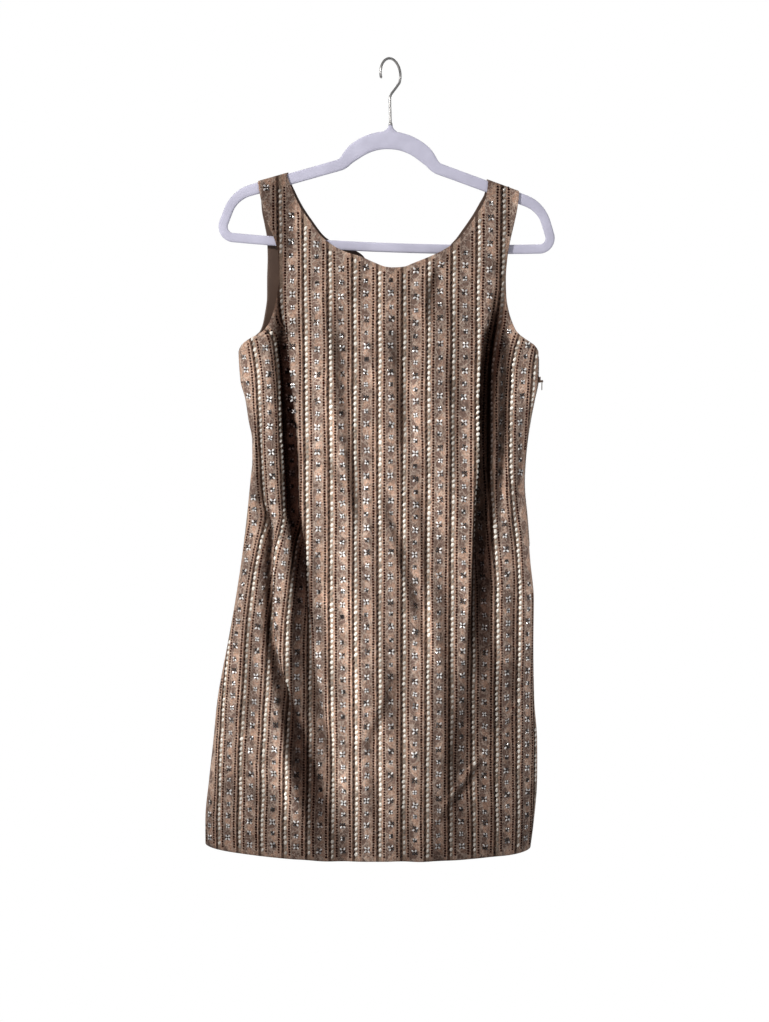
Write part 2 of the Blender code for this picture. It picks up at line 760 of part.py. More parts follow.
for old in list(bpy.data.objects):
    bpy.data.objects.remove(old)
make_panel("front_panel", "front", (0.42, 0.30, 0.25))
make_panel("back_panel", "back", (0.42, 0.30, 0.25))
hanger_frame()
hanger_hook()
zip_pieces()
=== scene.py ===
"""Beaded shift cocktail dress on a slim flocked hanger: cloth, beads, zip, hanger and light.

+X is the wearer's left, -Y the front and +Z up, with the origin at the inside top of the
hook. Sizes are in millimetres, "drop" is how far a place is below the origin, and a panel's
place is given across and down its flat pattern.
"""
import math

import bpy
import numpy as np
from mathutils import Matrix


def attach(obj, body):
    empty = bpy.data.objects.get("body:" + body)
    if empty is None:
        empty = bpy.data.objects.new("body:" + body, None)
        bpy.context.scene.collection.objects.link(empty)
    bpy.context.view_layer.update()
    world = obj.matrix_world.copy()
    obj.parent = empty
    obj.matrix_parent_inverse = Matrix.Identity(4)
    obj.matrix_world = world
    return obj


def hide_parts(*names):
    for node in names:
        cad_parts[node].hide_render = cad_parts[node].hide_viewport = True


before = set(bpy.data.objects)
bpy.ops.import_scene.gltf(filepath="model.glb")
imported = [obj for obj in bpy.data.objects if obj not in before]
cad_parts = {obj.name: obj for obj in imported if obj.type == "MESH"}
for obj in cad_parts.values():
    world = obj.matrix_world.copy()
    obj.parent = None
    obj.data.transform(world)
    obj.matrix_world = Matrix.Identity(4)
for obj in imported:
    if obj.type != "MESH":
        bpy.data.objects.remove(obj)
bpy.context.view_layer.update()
MM = 0.001
rng = np.random.default_rng(7)


class Table:
    """Rows of numbers under named columns, read smoothly at places in the first column."""

    def __init__(self, columns, *rows):
        self.columns = columns
        self.rows = np.array(rows, float)

    def at(self, where, column):
        """The column's values there, on a curve that never overshoots its rows."""
        places = self.rows[:, 0]
        values = self.rows[:, self.columns.index(column)]
        where = np.clip(where, places[0], places[-1])
        steps = np.diff(places)
        rises = np.diff(values) / steps
        before, after = rises[:-1], rises[1:]
        same = before * after > 0
        slopes = np.concatenate([rises[:1], np.zeros(len(rises) - 1), rises[-1:]])
        slopes[1:-1][same] = 2 / (1 / before[same] + 1 / after[same])
        i = np.clip(np.searchsorted(places, where, "right") - 1, 0, len(steps) - 1)
        t = (where - places[i]) / steps[i]
        start = values[i] * (1 + 2 * t) * (1 - t) ** 2
        end = values[i + 1] * t * t * (3 - 2 * t)
        lean = slopes[i] * t * (1 - t) ** 2 - slopes[i + 1] * t * t * (1 - t)
        return start + end + lean * steps[i]


# ---------------------------------------------------------------- sizes

CLOTH = 2.0  # wall of net, beads and backing together
SEAM_GAP = 0.3  # between two pieces at a seam
HEM_DROP = 1075.8
UNDERARM_DROP = 376.0

HANGER_TILT = 2.1  # degrees, the wearer's left side hangs lower
HANGER_THICK = 5.0
HANGER_ASIDE = 2.4  # the hanger's middle lies this far from under its hook
NECK_TOP_DROP = 82.5  # top of the hanger's neck
ARCH_DROP = 18.9  # centre line of the arch's top below the top of the neck
ARCH_RADIUS = 72.5
ARCH_TURN = 52.0  # degrees
BEND_RADIUS = 20.0  # from the arch into the arm
ARM_SLOPE = 17.5  # degrees below level
ARM_LENGTH = 121.0
ARM_HEIGHT = 14.5
ARM_CLEAR = 0.4  # cloth over the arm

# The side seams, which the front and the back share. Above the underarm, the places
# where the section's curve would reach the seams' plane if no armhole were cut.
SEAM = Table(
    ("drop", "left", "right"),
    (150, -182, 177), (266, -184, 180), (320, -192, 187), (350, -199.5, 193.5),
    (376, -206, 199.5), (415, -204.3, 199.8), (442, -197.8, 195.1), (470, -194, 190.1),
    (497, -189.5, 186.5), (524, -189.7, 184.2), (552, -192.7, 183.2), (607, -199, 188.3),
    (663, -206.8, 193.3), (719, -216.1, 199.2), (776, -227, 199.6), (862, -243.8, 202.3),
    (920, -250.6, 207.3), (979, -257.8, 208.3), (1039, -264.3, 204.5), (1076, -265, 200.5),
)

HEM_LIFT = Table(  # how far the hem rises, across
    ("across", "lift"),
    (-265, 4.2), (-220, 4.2), (-180, 3.2), (-130, 1.3), (-95, 0.2), (60, 0), (100, 1), (135, 1.5),
    (165, 0.3), (200, -0.9),
)
HEM_LIFT_FROM = 930.0  # the cloth above this drop hangs plumb

# The armhole edges, from the shoulder down to the underarm.
ARMHOLE = {
    "front": Table(
        ("drop", "left", "right"),
        (140, -178, 172), (170, -173.5, 169.2), (190, -169, 167), (210, -163, 163),
        (230, -154.5, 158.5), (250, -149.5, 155), (280, -148.5, 152.8), (305, -152.5, 153.6),
        (325, -157.5, 157.3), (341, -163.5, 163), (351, -172.5, 168.3), (360, -190, 179.7),
        (368, -201, 192.5), (376, -206, 199.5),
    ),
    "back": Table(
        ("drop", "left", "right"),
        (140, -175, 170), (170, -173, 167), (190, -172, 164), (210, -168.5, 160),
        (230, -165.5, 156), (250, -165.3, 152), (280, -166.5, 149.5), (305, -167, 150),
        (325, -170, 153), (341, -173.5, 159), (351, -178, 167.5), (360, -190, 178),
        (368, -200.5, 191.5), (376, -206, 199.5),
    ),
}

# The necklines, from the lowest point up to each shoulder, as places across and drops.
STRAP_SPREAD = 1.25
NECKLINE = {
    ("front", "left"): ((0, 266.6), (-8, 265.6), (-18, 262), (-40, 252.5), (-62, 245.5),
                        (-79, 236.5), (-92, 226), (-108, 205), (-122, 184.5), (-131.5, 163),
                        (-137, 148)),
    ("front", "right"): ((0, 266.6), (11, 266.3), (19, 265.2), (27, 262), (51, 252.5),
                         (68, 244.5), (86.5, 232), (100.5, 215.5), (114.5, 195),
                         (121.5, 184), (126, 173), (128, 157)),
    ("back", "left"): ((0, 280), (-12, 277), (-28, 264), (-38, 249), (-53, 240.5),
                       (-68, 236), (-87, 226), (-105, 204), (-119, 183), (-129, 163),
                       (-136, 148)),
    ("back", "right"): ((0, 280), (12, 278.5), (26, 272), (46, 260), (66, 246),
                        (84, 231), (97, 214), (110, 195), (118, 181), (124, 170),
                        (127, 157)),
}

# How far the cloth stands out from the seams' plane, at its edge and at its middle, and
# how its side turns: 0.5 rounds it like an ellipse, 1 runs it straight to the edge.
STAND = {
    "front": Table(
        ("drop", "edge", "middle", "turn"),
        (150, 5.4, 5.6, 1), (200, 6.4, 9.5, 1), (266, 6, 18, 0.9), (320, 3.5, 25, 0.76),
        (376, 0.15, 31, 0.62), (430, 0.15, 34.6, 0.54), (500, 0.15, 36.5, 0.5),
        (570, 0.15, 37.5, 0.5), (663, 0.15, 41, 0.5), (790, 0.15, 48, 0.5), (930, 0.15, 54, 0.5),
        (1076, 0.15, 59, 0.5),
    ),
    "back": Table(
        ("drop", "edge", "middle", "turn"),
        (150, 5.4, 5.6, 1), (200, 6.2, 8.6, 1), (266, 5.5, 15, 0.9), (320, 3.2, 20, 0.76),
        (376, 0.15, 24.5, 0.62), (430, 0.15, 27.2, 0.54), (500, 0.15, 28.5, 0.5),
        (570, 0.15, 29, 0.5), (663, 0.15, 31, 0.5), (790, 0.15, 35.5, 0.5), (930, 0.15, 39, 0.5),
        (1076, 0.15, 42, 0.5),
    ),
}
FLATNESS = 2.6  # power of the section's curve, over 2 for a flat middle

# The largest folds: where each floor runs, how deep it is, how wide its flanks are
# towards the middle and towards the side, and how far its floor tucks under the middle.
FOLD_COLUMNS = ("drop", "across", "depth", "inner", "outer", "tuck")
FOLDS = {
    "front": (
        (  # deep fold from the wearer's right armhole
            (296, -150, 0, 12, 14, 0), (335, -148.5, 5, 10, 17, 2), (366, -146.5, 25, 9, 19, 8),
            (415, -142, 32, 9, 22, 8), (461, -138.5, 33, 9, 25, 8), (521, -134, 33, 9, 29, 8),
            (584, -132.5, 31, 9, 28, 8), (615, -129.5, 26, 10, 25, 7),
            (646, -125.5, 20, 12, 22, 5), (712, -123.5, 13, 14, 24, 3), (790, -114, 9, 22, 26, 0),
            (870, -102, 8, 28, 28, 0), (950, -94, 7, 30, 30, 0), (1060, -90, 0, 32, 32, 0),
        ),
        (  # hip fold on the same side
            (545, -178, 0, 8, 10, 0), (575, -177, 7, 8, 10, 0), (603, -170, 12, 8, 11, 2),
            (625, -163.5, 16, 8, 13, 3), (656, -166, 18, 8, 13, 3), (710, -166.5, 18, 8, 14, 3),
            (767, -165, 17, 9, 15, 3), (808, -158, 16, 11, 17, 3), (850, -145, 14, 14, 19, 2),
            (912, -131, 11, 17, 22, 0), (968, -115, 8, 20, 26, 0), (1050, -104, 0, 22, 28, 0),
        ),
        (  # deep fold from the wearer's left armhole
            (296, 143, 0, 12, 12, 0), (336, 138, 12, 10, 16, 4), (375, 130, 26, 10, 18, 6),
            (415, 127.5, 30, 10, 20, 7), (521, 126, 30, 9, 20, 7), (584, 122.5, 27, 10, 23, 6),
            (646, 122, 20, 12, 23, 4), (712, 120.5, 12, 15, 24, 2), (790, 120, 0, 20, 24, 0),
        ),
        (  # narrow fold beside it
            (335, 154, 0, 6, 7, 0), (400, 152.5, 8, 7, 8, 0), (480, 151, 9, 7, 8, 0),
            (560, 148.5, 8, 7, 9, 0), (680, 148, 0, 8, 10, 0),
        ),
        (  # wide hollow above the hem
            (690, 124, 0, 24, 26, 0), (778, 120, 6.5, 26, 27, 0), (850, 116, 9.5, 28, 28, 0),
            (934, 113, 8.5, 30, 30, 0), (1060, 108, 0, 32, 32, 0),
        ),
    ),
    "back": (
        (
            (305, -146, 0, 14, 14, 0), (380, -138, 6, 15, 20, 0), (470, -133, 8.5, 17, 22, 2),
            (570, -129, 8.5, 17, 24, 2), (680, -125, 6.5, 19, 26, 0), (800, -121, 0, 20, 26, 0),
        ),
        (
            (305, 137, 0, 14, 12, 0), (390, 131, 6, 15, 19, 0), (480, 127, 8.5, 16, 21, 2),
            (590, 125, 7.5, 17, 23, 2), (700, 123, 4.5, 18, 25, 0), (810, 121, 0, 20, 26, 0),
        ),
        (
            (590, -176, 0, 11, 12, 0), (690, -172, 9, 12, 14, 2), (800, -167, 11, 14, 17, 0),
            (920, -158, 7, 16, 20, 0), (1050, -152, 0, 18, 24, 0),
        ),
        (
            (640, 84, 0, 24, 26, 0), (760, 88, 7, 27, 28, 0), (900, 94, 8, 30, 32, 0),
            (1050, 98, 0, 34, 36, 0),
        ),
    ),
}
FOLDS = {panel: [Table(FOLD_COLUMNS, *rows) for rows in tables]
         for panel, tables in FOLDS.items()}
FOLD_FLOOR = 2.6  # least distance of a fold's floor from the seams' plane

# Soft creases that the two panels' solids don't have: the drop and the place across where
# each begins, the same where it ends, its depth midway and its width. A depth below zero is
# a ridge.
CREASES = {
    "front": np.array([
        (355, -114, 550, -58, -4.2, 9), (490, -102, 590, -50, 3, 7), (295, -88, 480, -56, 4.2, 9),
        (440, -60, 615, -46, 4.6, 9), (305, -48, 445, -12, -4, 8), (350, 5, 510, 14, 4.4, 9),
        (395, 30, 525, 34, -3.2, 8), (370, 78, 450, 82, 2.8, 7), (545, -14, 800, 52, 4.8, 9),
        (510, -36, 705, -27, -4.4, 8), (540, 42, 735, 46, 3, 7), (740, -124, 960, -70, 3.8, 9),
        (690, 46, 850, 76, -3.4, 12), (690, -84, 830, -68, -3.1, 12), (255, 58, 350, 54, 4.8, 8),
        (630, -58, 1050, -36, -4.6, 17), (700, -132, 1010, -50, -4.3, 16),
        (800, 12, 930, -38, 4, 11), (830, 190, 950, 116, -3.4, 7), (900, 146, 1030, 52, -3.6, 8),
        (850, 180, 1020, 70, 3.1, 9), (860, -232, 980, -166, -2.9, 7),
        (930, -196, 1050, -88, -2.9, 8), (480, -178, 640, -170, 3.4, 7),
        (530, 84, 740, 102, -2.4, 9), (420, -98, 600, -90, -2.6, 9), (300, 82, 620, 90, 2.6, 10),
        (600, 62, 1040, 88, 3.8, 14), (620, -104, 900, -82, 2.4, 12), (600, -22, 960, 8, 2.4, 12),
        (700, -200, 1040, -190, 3.4, 14), (620, 168, 1000, 164, 3.6, 14),
        (420, -174, 640, -180, 2.9, 8), (430, 176, 640, 172, 2.9, 9),
        (850, 20, 1070, 44, -3.6, 12), (880, -28, 1076, -20, 3.4, 12),
        (840, -190, 1060, -206, -2.6, 12),
    ], float),
    "back": np.array([
        (310, -80, 640, -66, 3.6, 11), (300, -42, 620, -30, 3.1, 10),
        (320, -60, 520, -50, -2.2, 9), (300, 8, 600, -14, 3.6, 11), (320, 48, 640, 34, 2.9, 10),
        (300, 92, 560, 70, 3.6, 10), (360, 74, 560, 54, -2.2, 9), (560, -96, 1060, -70, 4.1, 15),
        (640, -20, 1076, -8, -4.1, 16), (560, 12, 800, -40, 3.8, 11),
        (600, 34, 1060, 30, 3.8, 15), (700, -56, 1060, -38, 3.4, 13),
        (430, -172, 700, -178, 3.4, 10), (430, 170, 700, 168, 3.1, 10),
        (760, 140, 1070, 130, 3.8, 15), (820, -210, 1070, -222, -2.9, 13),
        (440, -110, 600, -60, 2.4, 9), (460, 110, 600, 64, 2.4, 9), (860, 196, 1000, 96, -3.1, 8),
        (900, -220, 1040, -120, -3.1, 8),
    ], float),
}
CREASE_BEND = 3.0  # how far a crease wanders from its straight line
CREASE_TURNS = 5.0
CREASE_BLUNT = 0.8  # power of its depth along its length
CREASE_FROM, CREASE_FADE = 3, 12  # creases fade out where the cloth lies near the seams' plane
RIDGE_MOST = 2.0  # the cloth stands out no further than this

# Painted shade over the deepest folds and over cloth that lies in shade, by where it lies across.
SHADE_COLUMNS = ("drop", "from", "to", "share", "soft")
SHADES = {
    "front": (
        (  # deep fold from the wearer's right armhole
            (296, -157, -143, 0.3, 4), (318, -157.5, -142.5, 0.85, 5),
            (345, -156, -140, 0.94, 4.5), (372, -153.8, -137.2, 1, 2.5),
            (441, -149.5, -130.5, 1, 1.6), (521, -147.5, -123.4, 1, 1.8),
            (584, -146, -122.6, 1, 2), (615, -140, -119, 1, 2.5), (646, -137, -114.7, 0.99, 3),
            (712, -136, -108, 0.96, 3.5), (760, -138, -106, 0.88, 4.5),
            (810, -142, -101, 0.74, 6), (866, -142, -90, 0.62, 8), (937, -136, -78, 0.5, 9),
            (1010, -120, -70, 0.35, 9), (1076, -110, -60, 0.2, 9),
        ),
        (  # hip fold on the same side
            (540, -181, -175, 0, 2), (575, -180, -175, 0.7, 1.8), (587, -175, -169.5, 0.8, 1.8),
            (622, -168, -160.5, 0.85, 1.8), (655, -171.5, -163.5, 0.9, 1.8),
            (758, -172.5, -163, 0.9, 2), (800, -167.5, -154, 0.88, 3), (851, -157, -134, 0.88, 4),
            (937, -142, -104, 0.86, 6), (1001, -128, -84, 0.76, 8), (1076, -108, -62, 0.4, 11),
        ),
        (  # deep fold from the wearer's left armhole
            (290, 137, 152, 0.3, 3), (331, 134, 151, 0.9, 2.5), (355, 125.5, 146, 0.97, 2.5),
            (378, 122, 146, 0.98, 2.5), (413, 118.5, 141, 0.98, 2), (449, 117.5, 139, 0.97, 2),
            (521, 117, 138, 0.94, 2), (584, 113, 141, 0.92, 2.5), (646, 110, 139, 0.97, 3),
            (712, 107, 139, 0.94, 4), (760, 103, 139, 0.88, 5), (800, 98, 146, 0.74, 8),
            (851, 92, 150, 0.6, 12), (940, 74, 148, 0.36, 16), (1040, 60, 140, 0.2, 16),
        ),
        (  # narrow fold beside it
            (335, 146, 157, 0.3, 2.5), (355, 144, 158, 0.75, 2.5), (413, 139, 160, 0.78, 3),
            (480, 137, 157, 0.75, 3), (540, 138, 153, 0.7, 3), (584, 140, 149, 0.45, 3),
            (640, 140, 146, 0, 3),
        ),
        (  # the wearer's right strap
            (140, -176, -112, 0.36, 4), (190, -168, -128, 0.5, 6), (240, -162, -132, 0.54, 6),
            (296, -158, -142, 0.6, 4), (330, -158, -142, 0, 4),
        ),
        (  # the wearer's left strap, at its top
            (140, 104, 158, 0.45, 5), (166, 108, 150, 0.3, 6), (196, 112, 140, 0, 8),
        ),
        (  # above the hem, on the wearer's left
            (760, 40, 250, 0, 22), (860, 40, 250, 0.3, 22), (960, 24, 250, 0.42, 22),
            (1076, 10, 250, 0.45, 22),
        ),
        (  # the chest, which faces up a little
            (140, -300, 300, 0.33, 5), (300, -300, 300, 0.27, 5), (440, -300, 300, 0, 5),
        ),
        (  # just above the hem
            (960, -300, 300, 0, 5), (1050, -300, 300, 0.3, 5), (1076, -300, 300, 0.36, 5),
        ),
        (  # towards the side seam, on the wearer's right
            (370, -290, -160, 0.12, 10), (600, -290, -170, 0.17, 10), (860, -290, -166, 0.22, 18),
            (980, -290, -160, 0.38, 18), (1076, -290, -100, 0.44, 18),
        ),
    ),
    "back": (
        (
            (320, -152, -138, 0, 5), (420, -148, -128, 0.6, 6), (600, -144, -120, 0.6, 7),
            (760, -138, -114, 0, 9),
        ),
        (
            (320, 130, 142, 0, 5), (430, 122, 140, 0.6, 6), (600, 117, 136, 0.55, 7),
            (740, 112, 130, 0, 9),
        ),
        (
            (620, -180, -168, 0, 5), (740, -178, -162, 0.6, 5), (860, -172, -152, 0.55, 7),
            (1020, -160, -136, 0, 9),
        ),
    ),
}
SHADES = {panel: [Table(SHADE_COLUMNS, *rows) for rows in tables]
          for panel, tables in SHADES.items()}
CAVITY_SHADE = 0.19  # painted shade: how much each millimetre of a crease darkens it; ridges lighten the same way as painted light
# Creases deeper than CAVITY_FROM get painted shade and ridges get painted light, within
# CAVITY_LIMITS.
CAVITY_FROM = 0.9
CAVITY_LIMITS = (-0.45, 0.6)

# Low waves between the columns of beads, below the chest and near the middle.
WAVE_DEPTH = 0.9
WAVE_LENGTH, RIPPLE_LENGTH = 66.0, 7.1
WAVE_FROM, WAVE_FADE, WAVE_REACH = 210, 90, 190


# ---------------------------------------------------------------- the cloth's form

SHOULDER_RADIUS_OUT = HANGER_THICK / 2 + ARM_CLEAR + CLOTH
QUARTER = math.pi / 2 * SHOULDER_RADIUS_OUT
FACING = {"front": -1, "back": 1}  # which way along Y each panel faces
SIDES = {"left": -1.0, "right": 1.0}  # as the photo shows them


def tilted(across, drop, aside=HANGER_ASIDE):
    """A point of the hanger's own plane, after the hanger tilts about the origin."""
    turn = math.radians(HANGER_TILT)
    return (aside + across * math.cos(turn) - drop * math.sin(turn),
            across * math.sin(turn) + drop * math.cos(turn))


def arm_top(across):
    """The drop of the arm's top edge at places across, with the hanger tilted."""
    side = np.where(np.asarray(across) < 0, -1.0, 1.0)
    steep, slope = math.radians(ARCH_TURN), math.radians(ARM_SLOPE)
    out = ARCH_RADIUS * math.sin(steep) + BEND_RADIUS * (math.sin(steep) - math.sin(slope))
    fall = ARCH_RADIUS * (1 - math.cos(steep))
    fall += BEND_RADIUS * (math.cos(slope) - math.cos(steep))
    lift = ARM_HEIGHT / 2 / math.cos(slope)
    start = (side * out, NECK_TOP_DROP + ARCH_DROP + fall - lift)
    end = (start[0] + side * ARM_LENGTH, start[1] + ARM_LENGTH * math.tan(slope))
    (x0, d0), (x1, d1) = tilted(*start), tilted(*end)
    return d0 + (across - x0) * (d1 - d0) / (x1 - x0)


def shoulder_line(across):
    """The drop at which a strap begins to turn over the arm."""
    return arm_top(across) - ARM_CLEAR - CLOTH + SHOULDER_RADIUS_OUT


def by_side(table, drop, across):
    return np.where(across < 0, table.at(drop, "left"), table.at(drop, "right"))


def edge(panel, across, drop):
    """Where the panel's edge is, on the side of the place across."""
    above = by_side(ARMHOLE[panel], drop, across)
    return np.where(drop < UNDERARM_DROP, above, by_side(SEAM, drop, across))


def creases(panel, across, drop):
    """How far the soft creases and waves push the cloth inwards."""
    total = np.zeros(np.broadcast(across, drop).shape)
    for drop_0, across_0, drop_1, across_1, depth, width in CREASES[panel]:
        along = (drop - drop_0) / (drop_1 - drop_0)
        bend = CREASE_BEND * np.sin(along * CREASE_TURNS + across_0)
        off = (across - across_0 - (across_1 - across_0) * along - bend) / width
        live = (along > 0) & (along < 1) & (np.abs(off) < 1)
        rise = np.sin(np.clip(along, 0, 1) * math.pi) ** CREASE_BLUNT
        total += np.where(live, depth * rise * (1 - off * off) ** 2, 0)
    below = np.clip((drop - WAVE_FROM) / WAVE_FADE, 0, 1)
    sway = 0.7 * np.sin(drop / 57.0 + 0.5) + 0.5 * np.sin(drop / 131.0)
    wave = np.sin(across * 2 * math.pi / WAVE_LENGTH + sway)
    wave += 0.6 * np.sin(across / RIPPLE_LENGTH - sway * 1.6)
    calm = below * np.clip(1.12 - np.abs(across) / WAVE_REACH, 0, 1)
    return total + WAVE_DEPTH * calm * (wave + 1.2)


def fold_shift(panel, across, drop, shares=None):
    """How far the folds push the cloth inwards and across; shares scales each fold."""
    shares = shares or [1.0] * len(FOLDS[panel])
    inwards, sideways = np.zeros_like(across), np.zeros_like(across)
    for fold, kept in zip(FOLDS[panel], shares):
        floor = fold.at(drop, "across")
        to_middle = np.abs(across) < np.abs(floor)
        width = np.where(to_middle, fold.at(drop, "inner"), fold.at(drop, "outer"))
        part = np.abs(across - floor) / width
        live = (drop > fold.rows[0, 0]) & (drop < fold.rows[-1, 0]) & (part < 1)
        bump = np.where(live, (1 - np.minimum(part, 1) ** 2) ** 2, 0) * kept
        inwards += fold.at(drop, "depth") * bump
        sideways -= np.sign(floor) * fold.at(drop, "tuck") * bump
    return inwards, sideways


def shade_share(panel, x, across, drop):
    """Painted shade: 0 on the open cloth and 1 in the darkest folds, below 0 where ridges get
    painted light; x is where the cloth lies across.
    """
    # painted shade in the creases and painted light on the ridges, by their depth
    painted_crease_shade = (creases(panel, across, drop) - CAVITY_FROM) * CAVITY_SHADE
    kept = 1 - np.clip(painted_crease_shade, *CAVITY_LIMITS)
    for table in SHADES[panel]:
        soft = table.at(drop, "soft")
        rise = np.clip(0.5 + (x - table.at(drop, "from")) / soft / 2, 0, 1)
        fall = np.clip(0.5 + (table.at(drop, "to") - x) / soft / 2, 0, 1)
        kept = kept * (1 - table.at(drop, "share") * rise * rise * (3 - 2 * rise)
                       * fall * fall * (3 - 2 * fall))
    return 1 - kept


def cloth_point(panel, across, drop, shares=None, creased=1.0):
    """Points of the cloth's outer face over places on the flat pattern."""
    across, drop = np.broadcast_arrays(np.asarray(across, float), np.asarray(drop, float))
    line = shoulder_line(across)
    over = np.clip(line - drop, 0, QUARTER)
    low = np.maximum(drop, line)
    stand = STAND[panel]
    share = np.minimum(1.0, np.abs(across / by_side(SEAM, low, across)))
    rim, middle = stand.at(low, "edge"), stand.at(low, "middle")
    out = rim + (middle - rim) * (1 - share**FLATNESS) ** stand.at(low, "turn")
    fade = np.clip((out - CREASE_FROM) / CREASE_FADE, 0, 1)
    inwards = creases(panel, across, low) * fade * creased
    folded, sideways = fold_shift(panel, across, low, shares)
    deepest = out - FOLD_FLOOR * np.minimum(1, out / 6)
    out = out - np.maximum(-RIDGE_MOST, np.minimum(inwards + folded, deepest))
    hem = np.clip((low - HEM_LIFT_FROM) / (HEM_DROP - HEM_LIFT_FROM), 0, None)
    turn = over / SHOULDER_RADIUS_OUT
    out = SEAM_GAP / 2 + (out - SEAM_GAP / 2) * np.cos(turn)
    up = HEM_LIFT.at(across, "lift") * hem - low + SHOULDER_RADIUS_OUT * np.sin(turn)
    return np.stack([across + sideways, FACING[panel] * out, up], axis=-1)


# ---------------------------------------------------------------- meshes from arrays


def placed(name, data):
    made = bpy.data.objects.new(name, data)
    bpy.context.scene.collection.objects.link(made)
    return made


def piece_of(name, points, faces, materials, layout=None, tones=None, deep=None,
             which=None, smooth=True):
    """A piece of the dress from points in millimetres and arrays of faces.

    layout lays the cloth out flat, tones is each bead's own tone, deep the painted shade of the
    folds and creases, and which tells each face its material.
    """
    mesh = bpy.data.meshes.new(name)
    faces = [np.asarray(f, np.int32) for f in faces if len(f)]
    counts = np.concatenate([np.full(len(f), f.shape[1]) for f in faces])
    corners = np.concatenate([f.ravel() for f in faces])
    mesh.vertices.add(len(points))
    mesh.vertices.foreach_set("co", (np.asarray(points) * MM).astype(np.float32).ravel())
    mesh.loops.add(len(corners))
    mesh.loops.foreach_set("vertex_index", corners)
    mesh.polygons.add(len(counts))
    starts = np.concatenate([[0], np.cumsum(counts)[:-1]])
    mesh.polygons.foreach_set("loop_start", starts.astype(np.int32))
    mesh.polygons.foreach_set("loop_total", counts.astype(np.int32))
    if which is not None:
        mesh.polygons.foreach_set("material_index", which.astype(np.int32))
    mesh.update(calc_edges=True)
    mesh.validate()
    if layout is not None:
        uv = mesh.uv_layers.new(name="cloth")
        uv.data.foreach_set("uv", layout[corners].astype(np.float32).ravel())
    # deep carries the painted shade of folds and creases to the materials
    for label, values in (("tone", tones), ("deep", deep)):
        if values is not None:
            made = mesh.attributes.new(label, "FLOAT", "POINT")
            made.data.foreach_set("value", values.astype(np.float32))
    mesh.polygons.foreach_set("use_smooth", np.full(len(counts), smooth))
    for material in materials:
        mesh.materials.append(material)
    made = placed(name, mesh)
    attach(made, "dress")
    return made


def grid_faces(rows, columns, flip):
    i, j = np.meshgrid(np.arange(rows - 1), np.arange(columns - 1), indexing="ij")
    a = (i * columns + j).ravel()
    quads = np.stack([a, a + 1, a + columns + 1, a + columns], axis=1)
    return quads[:, ::-1] if flip else quads


def tube_faces(rings, sides, closed=False):
    """Quads round a tube of rings; closed joins its last ring to its first."""
    joined = rings if closed else rings - 1
    i, j = np.meshgrid(np.arange(joined), np.arange(sides), indexing="ij")
    k, after = (j + 1) % sides, (i + 1) % rings
    corners = (i * sides + j, i * sides + k, after * sides + k, after * sides + j)
    return np.stack([c.ravel() for c in corners], axis=1)


def ring_turns(sides, start=0.0):
    """Cosines and sines round a ring."""
    turns = np.linspace(0, 2 * math.pi, sides, endpoint=False) + start
    return np.cos(turns), np.sin(turns)


def unit(vectors):
    return vectors / np.linalg.norm(vectors, axis=-1)[..., None]


def run_along(path):
    """The length of a path up to each of its points."""
    return np.concatenate([[0], np.cumsum(np.hypot(*np.diff(path, axis=0).T))])


# ---------------------------------------------------------------- arc length over the cloth

# How much of each fold the columns of beads follow; the rest is eased in.
FOLLOWED = {"front": (1.0, 0.6, 0.45, 0.9, 1.0), "back": (1.0, 1.0, 1.0, 1.0)}
CREASES_FOLLOWED = 0.4
LINE_STEP = 4.0  # drop between the lines along which lengths are measured
PLACE_STEP = 0.8
LINES = np.arange(132, 1084, LINE_STEP)
PLACES = np.arange(-296, 296.5, PLACE_STEP)
FIRST_LINE = 175  # lines above it are measured as if they lay here
LENGTHS = {}
for panel in FACING:
    spots = cloth_point(panel, PLACES[None, :], np.maximum(LINES[:, None], FIRST_LINE),
                        FOLLOWED[panel], CREASES_FOLLOWED)
    runs = np.hypot(*np.moveaxis(np.diff(spots[..., :2], axis=1), -1, 0))
    sums = np.concatenate([np.zeros((len(LINES), 1)), np.cumsum(runs, axis=1)], axis=1)
    middle = np.argmin(np.abs(PLACES))
    LENGTHS[panel] = sums - sums[:, middle:middle + 1]


def between(values, start, step, count):
    """The step of a regular scale that each value falls in, and how far through it."""
    where = np.clip((values - start) / step, 0, count - 1.001)
    whole = where.astype(int)
    return whole, where - whole


def across_at(panel, length, drop):
    """The places across whose length of cloth from the middle is the one given."""
    inverse = np.array([np.interp(length, row, PLACES) for row in LENGTHS[panel]])
    if np.ndim(length) == 0:
        return np.interp(drop, LINES, inverse)
    i, t = between(np.asarray(drop, float), LINES[0], LINE_STEP, len(LINES))
    k = np.arange(inverse.shape[1])
    return inverse[i, k] * (1 - t) + inverse[i + 1, k] * t


def length_at(panel, across, drop):
    """The length of cloth from the middle to places across."""
    i, t = between(drop, LINES[0], LINE_STEP, len(LINES))
    j, u = between(across, PLACES[0], PLACE_STEP, len(PLACES))
    table = LENGTHS[panel]
    low = table[i, j] * (1 - u) + table[i, j + 1] * u
    high = table[i + 1, j] * (1 - u) + table[i + 1, j + 1] * u
    return low * (1 - t) + high * t


# ---------------------------------------------------------------- the panels' cloth

REPEAT = 32.9  # cloth from one column of flowers to the next
FLOWER_STEP = 17.2  # from one flower to the next below it
FACE_INSET = 0.6  # the net lies this far inside the solid, to leave room for the beads
SHELL = 1.0
BEAD_SUNK = 0.25  # a bead's foot lies this far under the net's face
HALF_COLUMNS = 76
ROW_FINE = 4.4
STRAP_FINE = 46
TURN_FINE = 7


def neckline_points(panel, side, count):
    curve = np.array(NECKLINE[panel, side], float)
    lengths = run_along(curve)
    table = Table(("length", "across", "drop"), *np.column_stack([lengths, curve]))
    where = np.linspace(0, 1, count) ** STRAP_SPREAD * lengths[-1]
    points = np.stack([table.at(where, "across"), table.at(where, "drop")], axis=1)
    points[-1, 1] = shoulder_line(points[-1, 0])
    return points


